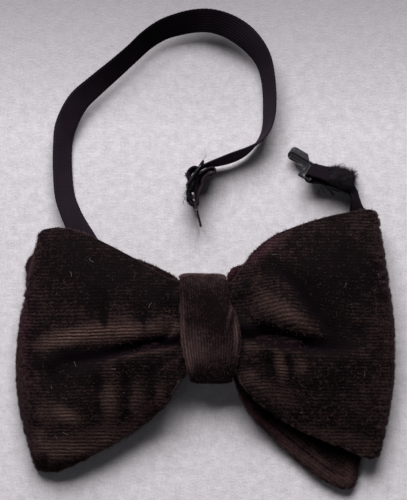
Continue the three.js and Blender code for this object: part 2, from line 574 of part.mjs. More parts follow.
function hookClipBody() {
  const frame = block(HOOK.barStart, HOOK.frameEnd, FITTING_WIDTH, METAL);
  const slot = block(HOOK.slotStart, HOOK.slotEnd, SLOT_WIDTH);
  const root = HOOK.slotEnd + HOOK_LAP;
  const middle = (METAL + HOOK_GAP) / 2;
  const outer = HOOK_GAP / 2 + METAL;
  const profile = new THREE.Shape();
  profile.moveTo(root, -METAL / 2);
  profile.absarc(HOOK.bend, middle, outer, -Math.PI / 2, Math.PI / 2, false);
  profile.lineTo(HOOK.back, middle + outer);
  profile.lineTo(HOOK.back, middle + outer - METAL);
  profile.absarc(HOOK.bend, middle, HOOK_GAP / 2, Math.PI / 2, -Math.PI / 2, true);
  profile.lineTo(root, METAL / 2);
  const tongue = new THREE.ExtrudeGeometry(profile, { ...FLAT_CUT, depth: HOOK_WIDTH });
  tongue.translate(0, 0, -HOOK_WIDTH / 2).rotateX(Math.PI / 2).translate(0, HOOK_SIDE, 0);
  return geometryOf(frame.subtract(slot).add(solidOf(tongue)));
}

// Materials
const velvet = { color: 0x2c1f1f, roughness: 0.95, metalness: 0 };
const shadedVelvet = { color: 0x24191b, roughness: 0.95, metalness: 0 };
const elastic = { color: 0x1e171f, roughness: 0.8, metalness: 0 };
const darkMetal = { color: 0x49464a, roughness: 0.35, metalness: 0.9 };

const bowTie = new THREE.Group();

function addPiece(name, geometry, finish) {
  const mesh = new THREE.Mesh(geometry, new THREE.MeshStandardMaterial(finish));
  mesh.name = name;
  bowTie.add(mesh);
  return mesh;
}

// Stands a flat fitting on its edge, its length along a compass heading
function standOnEdge(mesh, place) {
  mesh.position.set(place.x, place.y, place.z);
  mesh.rotation.set(Math.PI / 2, radians(place.heading), 0);
}

addPiece('knot_band', knotBody(), velvet);
addPiece('back_bow', bowBody(BACK_SECTIONS, underside, backTop), shadedVelvet);
addPiece('front_bow', bowBody(FRONT_SECTIONS, frontUnderside, frontTop), velvet);
addPiece('neck_strap', elasticBody(), elastic);
standOnEdge(addPiece('slide_adjuster', slideBody(), darkMetal), SLIDE);
standOnEdge(addPiece('eye_plate', eyePlateBody(), darkMetal), EYE_PLATE);

const clip = addPiece('hook_clip', hookClipBody(), darkMetal);
clip.position.set(CLIP.x, CLIP.y, CLIP.z);
clip.rotation.set(radians(CLIP.roll), 0, radians(CLIP.heading), 'ZYX');

export default bowTie;
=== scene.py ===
import bmesh
import bpy
import numpy as np
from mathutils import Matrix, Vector


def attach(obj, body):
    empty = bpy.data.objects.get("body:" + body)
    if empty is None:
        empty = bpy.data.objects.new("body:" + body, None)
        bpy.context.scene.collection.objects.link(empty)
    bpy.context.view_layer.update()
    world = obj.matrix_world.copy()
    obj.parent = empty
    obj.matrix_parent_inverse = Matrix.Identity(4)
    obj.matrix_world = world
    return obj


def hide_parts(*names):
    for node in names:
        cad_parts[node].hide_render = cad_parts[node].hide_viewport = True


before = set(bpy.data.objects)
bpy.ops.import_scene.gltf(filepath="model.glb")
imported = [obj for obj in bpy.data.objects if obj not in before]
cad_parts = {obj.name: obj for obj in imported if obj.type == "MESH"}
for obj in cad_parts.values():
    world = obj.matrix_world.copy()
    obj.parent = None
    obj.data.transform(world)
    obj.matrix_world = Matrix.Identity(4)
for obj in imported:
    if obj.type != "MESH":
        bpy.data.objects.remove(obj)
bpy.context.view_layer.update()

# The picture: the tie lies on a pale table and is seen through a long lens from almost straight above. A
# large soft lamp stands beyond the picture's upper edge, a little to the left, and a weak one opens the
# shadows. Sizes and places on the tie are in mm; lamps, camera and finished meshes are in metres.
MM = 0.001
PICTURE_MM = (143.7, 176.5)
PICTURE_CENTRE_MM = (-2.3, 28.4, 6.0)
CAMERA_ELEVATION = np.radians(86.5)
CAMERA_DISTANCE = 1.5
SENSOR_MM = 36.0
TIE_MIDDLE = (0.0, 0.02, 0.0)
ROOM_COLOUR = (0.93, 0.93, 0.96, 1.0)
ROOM_LIGHT = 0.016

eye = np.array([0.0, -np.cos(CAMERA_ELEVATION), np.sin(CAMERA_ELEVATION)])
camera_data = bpy.data.cameras.new("camera")
camera_data.sensor_width = SENSOR_MM
camera_data.lens = SENSOR_MM * CAMERA_DISTANCE / (PICTURE_MM[1] * MM)
camera_data.clip_start, camera_data.clip_end = 0.05, 20.0
camera = bpy.data.objects.new("camera", camera_data)
bpy.context.scene.collection.objects.link(camera)
camera.location = Vector(np.array(PICTURE_CENTRE_MM) * MM + eye * CAMERA_DISTANCE)
camera.rotation_mode = "QUATERNION"
camera.rotation_quaternion = Vector(-eye).to_track_quat("-Z", "Y")
bpy.context.scene.camera = camera


def lamp(name, place, aim, size, power, colour):
    """A rectangular area lamp at a place, turned to face the point it is aimed at, with its width level."""
    data = bpy.data.lights.new(name, "AREA")
    data.shape = "RECTANGLE"
    data.size, data.size_y = size
    data.energy = power
    data.color = colour
    made = bpy.data.objects.new(name, data)
    bpy.context.scene.collection.objects.link(made)
    made.location = Vector(place)
    made.rotation_mode = "QUATERNION"
    made.rotation_quaternion = (Vector(aim) - Vector(place)).to_track_quat("-Z", "Y")


lamp("window", (-0.14, 1.10, 1.06), TIE_MIDDLE, size=(1.30, 0.80), power=31.2, colour=(1.0, 0.975, 0.985))
lamp("ceiling", (-0.45, -0.6, 1.0), TIE_MIDDLE, size=(1.0, 1.0), power=0.6, colour=(0.97, 0.96, 1.0))
world = bpy.data.worlds.new("room")
world.use_nodes = True
world.node_tree.nodes["Background"].inputs["Color"].default_value = ROOM_COLOUR
world.node_tree.nodes["Background"].inputs["Strength"].default_value = ROOM_LIGHT
bpy.context.scene.world = world
bpy.context.scene.view_settings.view_transform = "Standard"

# The table: a pale surface with cloudy blotches and a faint weave, greyer towards its far side, where
# shade is painted into its colour. It is the stage on which the tie lies, and no part of it.
FLOOR_HALF = 3.0
TABLE_LOW, TABLE_HIGH = (0.58, 0.56, 0.59), (0.92, 0.89, 0.925)
# Painted shade towards the table's far side: where it begins and ends along Y in metres, how much, and its
# grey
FAR_SIDE = {"From Min": 0.070, "From Max": 0.125}
FAR_SHADE_SHARE = 0.9
FAR_SHADE_GREY = (0.31, 0.30, 0.325, 1.0)
WEAVE_PITCH = 0.0034
WEAVE_STRETCH = 5.0


class Socket:
    """One output of a material's nodes. Arithmetic on it adds Math nodes to the same material."""

    def __init__(self, finish, socket):
        self.finish = finish
        self.socket = socket

    def _math(self, operation, *terms):
        return self.finish.add("ShaderNodeMath", {"operation": operation}, dict(enumerate(terms)))

    def __add__(self, other):
        return self._math("ADD", self, other)

    def __radd__(self, other):
        return self._math("ADD", other, self)

    def __sub__(self, other):
        return self._math("SUBTRACT", self, other)

    def __rsub__(self, other):
        return self._math("SUBTRACT", other, self)

    def __mul__(self, other):
        return self._math("MULTIPLY", self, other)

    def __rmul__(self, other):
        return self._math("MULTIPLY", other, self)

    def __truediv__(self, other):
        return self._math("DIVIDE", self, other)

    def __rtruediv__(self, other):
        return self._math("DIVIDE", other, self)


class Finish:
    """A material built from nodes. add() makes any node: its type, its settings, then its sockets."""

    def __init__(self, name):
        self.material = bpy.data.materials.new(name)
        self.material.use_nodes = True
        self.tree = self.material.node_tree
        self.tree.nodes.clear()

    def add(self, kind, settings=None, sockets=None, output=0):
        node = self.tree.nodes.new(kind)
        for key, value in (settings or {}).items():
            if key == "stops":
                ramp = node.color_ramp
                while len(ramp.elements) < len(value):
                    ramp.elements.new(0.5)
                for element, (place, colour) in zip(ramp.elements, value):
                    element.position = place
                    element.color = (*colour, 1.0)
            else:
                setattr(node, key, value)
        for key, value in (sockets or {}).items():
            if isinstance(value, Socket):
                self.tree.links.new(value.socket, node.inputs[key])
            else:
                node.inputs[key].default_value = value
        return Socket(self, node.outputs[output])

    def coordinates(self, uv_map=None):
        """X, Y and Z of the object's own coordinates, or U and V of one of its UV maps, in metres."""
        if uv_map:
            place = self.add("ShaderNodeUVMap", {"uv_map": uv_map})
        else:
            place = self.add("ShaderNodeTexCoord", output="Object")
        return place, [self.add("ShaderNodeSeparateXYZ", None, {0: place}, axis) for axis in range(3)]

    def attribute(self, name):
        return self.add("ShaderNodeAttribute", {"attribute_name": name}, None, "Fac")

    def noise(self, place, pitch, detail=2.0, roughness=0.5):
        """Soft random values round 0.5, whose blotches are about pitch metres wide."""
        return self.add(
            "ShaderNodeTexNoise",
            {"noise_dimensions": "3D"},
            {"Vector": place, "Scale": 1.0 / pitch, "Detail": detail, "Roughness": roughness},
        )

    def colours(self, share, low, high):
        """The colour low where share is 0 and high where it is 1."""
        return self.add("ShaderNodeValToRGB", {"stops": [(0.0, low), (1.0, high)]}, {"Fac": share})

    def surface(self, sockets):
        """The finished surface, from the values and links of a Principled shader's sockets."""
        shader = self.add("ShaderNodeBsdfPrincipled", None, sockets)
        end = self.tree.nodes.new("ShaderNodeOutputMaterial")
        self.tree.links.new(shader.socket, end.inputs["Surface"])
        return self.material


table_finish = Finish("table_paper")
place, (_, table_y, _) = table_finish.coordinates()
mottle = table_finish.noise(place, 0.0032, 4.0, 0.62)
grain = table_finish.noise(place, 0.0007, 2.0, 0.6)
# Painted shade: the table's colour greys towards its far side
far_shade = table_finish.add("ShaderNodeMapRange", None, {"Value": table_y, **FAR_SIDE})
across = table_finish.add("ShaderNodeMapping", None, {"Vector": place, "Scale": (1.0, WEAVE_STRETCH, 1.0)})
upwards = table_finish.add("ShaderNodeMapping", None, {"Vector": place, "Scale": (WEAVE_STRETCH, 1.0, 1.0)})
weave = table_finish.noise(across, WEAVE_PITCH, 2.0, 0.6) + table_finish.noise(upwards, WEAVE_PITCH, 2.0, 0.6)
pale = table_finish.colours(mottle * 1.1 + grain * 0.6 + weave * 0.5 - 0.85, TABLE_LOW, TABLE_HIGH)
table_colour = table_finish.add(
    "ShaderNodeMix", {"data_type": "RGBA"}, {0: far_shade * FAR_SHADE_SHARE, 6: pale, 7: FAR_SHADE_GREY}, 2
)
table_finish.surface(
    {
        "Base Color": table_colour,
        "Roughness": 0.92,
        "Normal": table_finish.add(
            "ShaderNodeBump", None, {"Strength": 0.35, "Distance": 0.0004, "Height": mottle + grain}
        ),
    }
)
floor_mesh = bpy.data.meshes.new("table")
corners = [(x * FLOOR_HALF, y * FLOOR_HALF, 0.0) for x, y in ((-1, -1), (1, -1), (1, 1), (-1, 1))]
floor_mesh.from_pydata(corners, [], [(0, 1, 2, 3)])
floor_mesh.materials.append(table_finish.material)
floor = bpy.data.objects.new("table", floor_mesh)
bpy.context.scene.collection.objects.link(floor)

# Back bow: a band of dark brown ribbed velvet on a stiff lining, closed to a flat loop and drawn together
# in the middle. It lies under the front bow, turned a little, so that its right wing shows as a second lobe.
# Where a value is a pair, a change begins at its first number and is complete at its second.
VELVET_WALL = 1.7
PINCHED_HOLLOW = 0.5
BACK_WING_THICKNESS = 7.2
OUTER_FOLD_DEPTH = 4.6
BULGE_POWER = 1.25
BULGE_LEAN = 0.7
RIM_ROUNDING = 0.6
PLEATS = 3
PLEAT_HEIGHT = 1.0
PINCH_LEVEL = 4.5
PINCH_HALF_WIDTH = 11.0
PINCH_REACH = 26.0
SWELL_REACH = 34.0
EDGE_TAPER = 0.55
TABLE_CLEARANCE = 0.15
STRAP_CLEARANCE = 1.85
STRAP_SLOPE = {"y": (-22.0, -6.0), "x": (-60.0, -48.0)}
BACK_HEM_DROOP = 2.0
HEM = (0.45, 1.05)
HEM_ENDS = (42.0, 63.0)
SOFT_LIMIT = 0.7
FOLD_TURN_STEP = 12.0
RIB_MM = 1.22
RIB_ROUNDNESS = 0.6
RIB_FREE_RIM = 0.03


def table_of(names, rows):
    """Named columns from the rows of a short table."""
    return dict(zip(names.split(), np.array(rows, float).T))


# Outlines in plan, in mm: the upper and lower end of each section across the bow, from left to right,
# and how far the section's middle stands out to the right of the line between them.
FRONT_SECTIONS = table_of("top_x top_y low_x low_y bulge", [
    (-60.8, 32.8, -61.8, -47.0, -6.4),
    (-58.8, 34.8, -59.6, -48.9, -5.6),
    (-52.0, 35.3, -53.0, -48.8, -4.1),
    (-44.5, 33.3, -45.0, -45.3, -2.6),
    (-37.0, 29.9, -37.4, -41.4, -1.6),
    (-28.4, 25.4, -28.8, -36.5, -0.8),
    (-21.0, 21.0, -21.2, -31.0, 0.0),
    (-15.4, 18.0, -15.4, -25.4, 0.0),
    (-12.0, 16.8, -11.8, -19.2, 0.0),
    (-9.0, 15.8, -9.0, -14.8, 0.0),
    (0.0, 15.8, 0.0, -14.8, 0.0),
    (7.4, 15.9, 8.9, -14.9, 0.0),
    (10.2, 19.6, 11.6, -19.2, 0.0),
    (14.6, 26.0, 16.2, -24.4, 0.0),
    (21.2, 31.7, 22.6, -29.1, 0.5),
    (28.2, 34.9, 29.4, -33.4, 1.2),
    (37.4, 38.0, 38.2, -37.5, 2.2),
    (47.6, 40.5, 47.8, -41.3, 3.4),
    (56.6, 41.8, 56.9, -44.8, 4.5),
    (59.2, 39.8, 59.8, -43.0, 5.0),
])
BACK_SECTIONS = table_of("top_x top_y low_x low_y bulge", [
    (-65.0, 22.8, -57.4, -42.0, -1.6),
    (-63.0, 26.2, -55.4, -43.8, -1.8),
    (-52.0, 28.8, -47.4, -42.6, -1.8),
    (-40.4, 28.0, -37.6, -39.2, -0.8),
    (-29.0, 25.6, -27.8, -33.8, 0.0),
    (-19.6, 22.2, -19.4, -26.6, 0.0),
    (-12.8, 18.6, -12.6, -18.8, 0.0),
    (-9.0, 15.8, -9.0, -14.8, 0.0),
    (0.0, 15.8, 0.0, -14.8, 0.0),
    (5.4, 16.2, 8.2, -14.8, 0.0),
    (7.4, 21.0, 10.4, -22.4, 0.0),
    (13.4, 22.8, 14.4, -29.4, 0.0),
    (21.4, 26.2, 20.8, -36.2, 0.0),
    (30.0, 29.2, 28.4, -43.0, 0.4),
    (38.6, 31.2, 36.4, -50.0, 1.0),
    (46.6, 32.4, 44.6, -54.6, 2.2),
    (51.2, 32.6, 49.4, -55.2, 3.2),
    (53.2, 30.6, 51.4, -53.0, 3.4),
])


def smooth(value, low, high):
    """0 at low, 1 at high, and an S-shaped cubic between them."""
    t = np.clip((value - low) / (high - low), 0.0, 1.0)
    return t * t * (3.0 - 2.0 * t)


def column(rows, key, name, place):
    """Value of one column where another has a given value: a cubic between two rows, which leaves and
    arrives with the slope of the straight line between the rows before and after it."""
    keys, values = rows[key], rows[name]
    last = len(keys) - 1
    here = np.searchsorted(keys[1:-1], place, side="left")
    before, after = np.maximum(here - 1, 0), np.minimum(here + 2, last)
    span = keys[here + 1] - keys[here]
    t = np.clip((place - keys[here]) / span, 0.0, 1.0)
    leave = (values[here + 1] - values[before]) / (keys[here + 1] - keys[before]) * span
    arrive = (values[after] - values[here]) / (keys[after] - keys[here]) * span
    return (
        (2 * t**3 - 3 * t**2 + 1) * values[here]
        + (t**3 - 2 * t**2 + t) * leave
        + (3 * t**2 - 2 * t**3) * values[here + 1]
        + (t**3 - t**2) * arrive
    )


def fan_place(x, y):
    """Place between the front bow's lower edge, -1, and its upper edge, +1."""
    top = column(FRONT_SECTIONS, "top_x", "top_y", x)
    low = column(FRONT_SECTIONS, "low_x", "low_y", x)
    return np.clip((2 * y - top - low) / (top - low), -1.2, 1.2)


def pinch(x, reach=PINCH_REACH):
    """1 under the knot, fading to 0 at a distance reach out in the wings."""
    return 1.0 - smooth(np.abs(x), PINCH_HALF_WIDTH, reach)


def pleats(x, y):
    """Crests side by side under the knot: a cosine of the place across the fan, three waves wide."""
    return PLEAT_HEIGHT * np.cos(np.pi * PLEATS * fan_place(x, y))


def underside(x, y):
    """Height of the back bow's lower face: just over the table, raised over the elastic in the upper
    half, and raised with the pleats to the knot's level."""
    over_strap = smooth(y, *STRAP_SLOPE["y"]) * smooth(x, *STRAP_SLOPE["x"])
    wing = TABLE_CLEARANCE + STRAP_CLEARANCE * over_strap
    return wing + (PINCH_LEVEL + pleats(x, y) - wing) * pinch(x)


def bow_thickness(x, y, wing_thickness, reach=SWELL_REACH):
    """Both layers and the hollow: least at the knot, swelling outwards, less towards the long edges."""
    pinched = 2 * VELVET_WALL + PINCHED_HOLLOW
    swell = (1.0 - pinch(x, reach)) * (1.0 - EDGE_TAPER * fan_place(x, y) ** 4)
    return pinched + (wing_thickness - pinched) * np.clip(swell, 0.0, 1.0)


def eased_curve(rows, places):
    """Points and directions along a smooth curve through the rows: between two rows a cubic that passes
    through both and, at each, runs parallel to the line between the rows before and after it."""
    padded = np.concatenate([[2 * rows[0] - rows[1]], rows, [2 * rows[-1] - rows[-2]]])
    here = np.minimum(places.astype(int), len(rows) - 2)
    t = (places - here)[:, None]
    before, start, end, after = (padded[here + k] for k in range(4))
    leave, arrive = (end - before) / 2, (after - start) / 2
    cubic, square = 2 * start - 2 * end + leave + arrive, 3 * end - 3 * start - 2 * leave - arrive
    return start + t * (leave + t * (square + t * cubic)), leave + t * (2 * square + 3 * t * cubic)


def unit(vectors):
    """The vectors, each one long."""
    return vectors / np.linalg.norm(vectors, axis=-1, keepdims=True)


def hem(x, y):
    """How far out a point lies towards a wing's lower edge or its end, where the cloth sags to the table."""
    above = (1.0 - smooth(-fan_place(x, y), *HEM)) * (1.0 - smooth(np.abs(x), *HEM_ENDS))
    return (1.0 - above) * (1.0 - pinch(x))


def back_top(x, y):
    """The back bow's upper face: its underside and its thickness, less at the sagging hem, where the two
    layers come to lie on each other."""
    free = bow_thickness(x, y, BACK_WING_THICKNESS) - BACK_HEM_DROOP * hem(x, y)
    least = 2 * VELVET_WALL + PINCHED_HOLLOW
    return underside(x, y) + (least + free + np.hypot(least - free, SOFT_LIMIT)) / 2


def new_piece(name, points, faces, material):
    """A mesh object at the origin from points in mm and quads or triangles, smooth shaded."""
    mesh = bpy.data.meshes.new(name)
    faces = np.asarray(faces)
    corners_per_face = faces.shape[1]
    mesh.vertices.add(len(points))
    mesh.vertices.foreach_set("co", (np.asarray(points, float) * MM).astype(np.float32).ravel())
    mesh.loops.add(faces.size)
    mesh.loops.foreach_set("vertex_index", faces.astype(np.int32).ravel())
    mesh.polygons.add(len(faces))
    mesh.polygons.foreach_set("loop_start", np.arange(len(faces), dtype=np.int32) * corners_per_face)
    mesh.polygons.foreach_set("use_smooth", np.ones(len(faces), bool))
    mesh.update(calc_edges=True)
    mesh.validate()
    mesh.materials.append(material)
    made = bpy.data.objects.new(name, mesh)
    bpy.context.scene.collection.objects.link(made)
    return made


def ring_faces(rows, stations):
    """Quads of a grid that closes on itself both ways: point (r, s) is number r * stations + s."""
    r, s = np.meshgrid(np.arange(rows), np.arange(stations), indexing="ij")
    up, on = (r + 1) % rows, (s + 1) % stations
    quads = np.stack([r * stations + s, r * stations + on, up * stations + on, up * stations + s], axis=-1)
    return quads.reshape(-1, 4)


def facing_out(points, faces):
    """The faces, each turned round where together they would enclose a negative volume."""
    a, b, c = (points[faces[:, k]] for k in (0, 1, 2))
    d = points[faces[:, -1]]
    volume = (a * np.cross(b, c)).sum() + (a * np.cross(c, d)).sum()
    return faces if volume > 0 else faces[:, ::-1]


def with_distances(sections):
    """The sections with their distance along the bow's middle line."""
    middle_x = (sections["top_x"] + sections["low_x"]) / 2 + sections["bulge"]
    middle_y = (sections["top_y"] + sections["low_y"]) / 2
    steps = np.hypot(np.diff(middle_x), np.diff(middle_y))
    return {**sections, "along": np.concatenate([[0.0], np.cumsum(steps)])}


def bow_face(sections, low_face, high_face, along, v, layer, inset):
    """Points of a bow's outside, or of its inside at an inset: across each section the plan point runs
    from its lower to its upper end and stands out by the bulge, and its height is the face's, closing
    along a quarter ellipse to the middle height at the folded ends."""
    length = sections["along"][-1]
    bow = (4 * v * (1 - v)) ** BULGE_POWER * (1 + BULGE_LEAN * (0.5 - v))
    top_x, low_x = column(sections, "along", "top_x", along), column(sections, "along", "low_x", along)
    top_y, low_y = column(sections, "along", "top_y", along), column(sections, "along", "low_y", along)
    x = low_x + (top_x - low_x) * v + column(sections, "along", "bulge", along) * bow
    y = low_y + (top_y - low_y) * v
    depth = OUTER_FOLD_DEPTH - inset
    from_end = np.minimum(along, length - along) - inset
    closing = np.clip(1 - from_end / depth, 0.0, 1.0)
    opened = np.sqrt(np.maximum(0.0, 1 - closing**2))
    high, low = high_face(x, y) - inset, low_face(x, y) + inset
    middle = (high + low) / 2
    return np.stack([x, y, middle + layer * opened * (high - middle)], axis=-1)


def bow_mesh(sections, low_face, high_face, rib_place, ribs, columns, rows):
    """A band of cloth closed to a loop, as one closed skin. Rows run from the lower rim to the upper rim
    outside and back inside; the stations of each row run left to right on top and back underneath.
    The ribs raise the outside by a wave across the cloth. Also gives each point's place on the cloth:
    distance along the bow and the rib coordinate, and 1 outside on top, -1 outside underneath, 0 inside.
    The columns are those above and below, and the rows those outside and inside."""
    columns_above, columns_below = columns
    rows_outside, rows_inside = rows
    sections = with_distances(sections)
    length = sections["along"][-1]
    turn = np.radians(np.arange(0, 90, FOLD_TURN_STEP))

    def stations(count, inset):
        depth = OUTER_FOLD_DEPTH - inset
        fold = inset + depth * (1 - np.cos(turn))
        plain = np.linspace(OUTER_FOLD_DEPTH, length - OUTER_FOLD_DEPTH, count)
        return np.concatenate([fold, plain, (length - fold)[::-1]])

    def ring(v, inset):
        above, below = stations(columns_above, inset), stations(columns_below, inset)[1:-1][::-1]
        along = np.concatenate([above, below])
        layer = np.concatenate([np.ones(len(above)), -np.ones(len(below))])
        grid_v, grid_along = np.meshgrid(v, along, indexing="ij")
        points = bow_face(sections, low_face, high_face, grid_along, grid_v, layer[None, :], inset)
        return points, grid_along, np.broadcast_to(layer, grid_v.shape)

    def rim(v, away):
        outer, along, layer = ring(np.array([v]), 0.0)
        inner, _, _ = ring(np.array([v]), VELVET_WALL)
        return (outer + inner) / 2 + np.array([0.0, away, 0.0]), along, layer

    v_out = np.linspace(0.0, 1.0, rows_outside)
    v_in = np.linspace(1.0, 0.0, rows_inside)
    parts = [ring(v_out, 0.0), rim(1.0, RIM_ROUNDING), ring(v_in, VELVET_WALL), rim(0.0, -RIM_ROUNDING)]
    points = np.concatenate([p for p, _, _ in parts])
    along = np.concatenate([a for _, a, _ in parts])
    layer = np.concatenate([b for _, _, b in parts])
    faces = facing_out(points.reshape(-1, 3), ring_faces(*points.shape[:2]))
    rib = rib_place(points[..., 0], points[..., 1])
    outside = np.zeros(points.shape[:2])
    outside[: rows_outside + 1] = 1.0
    outside[-1] = 1.0
    normal = grid_normals(points, faces)
    edge = smooth(np.minimum(v_out, 1 - v_out), 0.0, RIB_FREE_RIM)[:, None]
    lift = np.zeros(points.shape[:2])
    relief = ribs(points[:rows_outside, :, 0], points[:rows_outside, :, 1])
    lift[:rows_outside] = relief * edge * rib_wave(rib[:rows_outside])
    points = points + normal * lift[..., None]
    return points, faces, along, rib, outside * layer


def grid_normals(points, faces):
    """Unit normals at a grid's points: the mean of the cross products of its quads' diagonals."""
    flat = points.reshape(-1, 3)
    diagonal_a, diagonal_b = flat[faces[:, 2]] - flat[faces[:, 0]], flat[faces[:, 3]] - flat[faces[:, 1]]
    across = np.cross(diagonal_a, diagonal_b)
    total = np.zeros_like(flat)
    for corner in range(4):
        np.add.at(total, faces[:, corner], across)
    total /= np.maximum(np.linalg.norm(total, axis=1, keepdims=True), 1e-9)
    return total.reshape(points.shape)


def rib_wave(rib):
    """One rounded rib in each rib width, -1 in the narrow groove and +1 on the rib."""
    crest = 0.5 + 0.5 * np.cos(2 * np.pi * rib / RIB_MM)
    return 2.0 * crest**RIB_ROUNDNESS - 1.0


def patches(rows, x, y):
    """Sum of soft oval patches: each row gives the middle, the half length and half width, the turn in
    degrees and the amount, which falls off as a bell curve from the middle."""
    total = np.zeros_like(x)
    for middle_x, middle_y, half_length, half_width, turn, amount in rows:
        c, s = np.cos(np.radians(turn)), np.sin(np.radians(turn))
        on = ((x - middle_x) * c + (y - middle_y) * s) / half_length
        off = ((y - middle_y) * c - (x - middle_x) * s) / half_width
        total += amount * np.exp(-(on**2 + off**2))
    return total


LATTICE_SIDE = 64
LATTICE_SHIFT = 400.0


def soft_random(x, y, pitch, seed):
    """Smooth random values from -1 to 1: random numbers on a square lattice of the given pitch, which
    repeats and is shifted past the tie, blended with S-shaped weights."""
    lattice = np.random.default_rng(seed).uniform(-1.0, 1.0, (LATTICE_SIDE, LATTICE_SIDE))
    grid_x, grid_y = x / pitch + LATTICE_SHIFT, y / pitch + LATTICE_SHIFT
    cell_x, cell_y = np.floor(grid_x).astype(int), np.floor(grid_y).astype(int)
    t_x, t_y = smooth(grid_x - cell_x, 0.0, 1.0), smooth(grid_y - cell_y, 0.0, 1.0)
    left, right = cell_x % LATTICE_SIDE, (cell_x + 1) % LATTICE_SIDE
    lower, upper = cell_y % LATTICE_SIDE, (cell_y + 1) % LATTICE_SIDE
    low = lattice[left, lower] * (1 - t_x) + lattice[right, lower] * t_x
    high = lattice[left, upper] * (1 - t_x) + lattice[right, upper] * t_x
    return low * (1 - t_y) + high * t_y


# The pile's pitches in metres: its tufts, the clumps they stand in, larger blotches, and how widely and how
# far the ribs wander
TUFT, CLUMP, BLOTCH = 0.00062, 0.0024, 0.008
WANDER_PITCH, WANDER = 0.0035, 0.00085


def velvet(name, dark, light, groove, glow, ribbed=1.0):
    """Ribbed velvet: dark where the pile stands, light where it is crushed and where a painted sheen lightens
    it, with painted shade darkening the grooves between its ribs and the bottoms of creases nearly black,
    clumps of pile along the ribs, a purple cast in places, partly a painted sheen and shade, and a soft
    reddish glow at glancing angles."""
    finish = Finish(name)
    place, _ = finish.coordinates()
    _, (along, rib, _) = finish.coordinates("cloth")
    nap = finish.attribute("nap")
    wander = finish.noise(place, WANDER_PITCH, 2.0, 0.5)
    bent = rib + (wander - 0.5) * WANDER
    wave = finish.add("ShaderNodeMath", {"operation": "COSINE"}, {0: bent * (2 * np.pi / (RIB_MM * MM))})
    tufts = finish.noise(place, TUFT, 2.0, 0.6)
    crest = wave * 0.5 + tufts * 0.5 + 0.25
    clumps = finish.noise(place, CLUMP, 3.0, 0.6)
    blotches = finish.noise(place, BLOTCH, 3.0, 0.55)
    # How far crushing and painted sheen lighten the pile, broken up by its clumps; lighter pile is speckled
    # most
    worn = finish.add("ShaderNodeClamp", None, {"Value": nap + (clumps - 0.5) * 1.3})
    speckle = (tufts - 0.5) * (worn * 1.05 + 0.34)
    pile_tone = nap + (blotches - 0.5) * 0.36 + (clumps - 0.5) * 0.38
    pile_tone = pile_tone + speckle + (crest - 0.5) * (0.09 * ribbed)
    # The ramp's darkest stop is the groove colour: painted shade where creases pull the tone below the dark
    # pile
    pile = finish.add(
        "ShaderNodeValToRGB",
        {"stops": [(0.0, groove), (0.36, dark), (1.0, light)]},
        {"Fac": (pile_tone + 0.5) / 1.5},
    )
    # Painted shade: grooves nearly black where the pile is lighter, mostly closed over where it stands
    lit = finish.add(
        "ShaderNodeMix",
        {"data_type": "RGBA"},
        {0: (1.0 - crest) * (worn * 0.97 + 0.20) * ribbed, 6: pile, 7: (*groove, 1.0)},
        2,
    )
    height = crest * (worn * 0.5 + 0.10) * ribbed + tufts * 0.8 + clumps * 0.5
    bump = finish.add("ShaderNodeBump", None, {"Strength": 0.6, "Distance": 0.00026, "Height": height})
    # A purple cast from the tint attribute, which holds painted sheen on rims and painted shade in creases,
    # and random blotches
    purple = finish.add("ShaderNodeClamp", None, {"Value": finish.attribute("tint") + (blotches - 0.5) * 0.9})
    lit = finish.add(
        "ShaderNodeMix",
        {"data_type": "RGBA", "blend_type": "MULTIPLY"},
        {0: purple, 6: lit, 7: (1.02, 0.66, 1.08, 1.0)},
        2,
    )
    return finish.surface(
        {
            "Base Color": lit,
            "Roughness": 0.88,
            "Specular IOR Level": 0.04,
            "Sheen Weight": glow,
            "Sheen Roughness": 0.30,
            "Sheen Tint": (0.80, 0.30, 0.56, 1.0),
            "Normal": bump,
        }
    )


def dress(piece, points, along, rib, nap, tint=None):
    """Puts the place on the cloth in the UV map "cloth", in metres, and in attributes the nap with its
    painted light and shade, and the tint.
    """
    mesh = piece.data
    corners_of = np.zeros(len(mesh.loops), np.int32)
    mesh.loops.foreach_get("vertex_index", corners_of)
    uv = np.stack([along.ravel()[corners_of], rib.ravel()[corners_of]], axis=-1) * MM
    mesh.uv_layers.new(name="cloth").data.foreach_set("uv", uv.astype(np.float32).ravel())
    for name, values in (("nap", nap), ("tint", tint)):
        if values is not None:
            values = np.broadcast_to(values, points.shape[:2]).astype(np.float32)
            mesh.attributes.new(name, "FLOAT", "POINT").data.foreach_set("value", values.ravel())


HAIR_RADIUS = 0.075
HAIR_LEAN = 0.55
HAIR_SIDES_FROM = np.array([0.31, 0.53, 0.79])
SHORTEST_HAIR = 0.4
TUFT_PITCH = 1.1
BETWEEN_TUFTS = 0.15


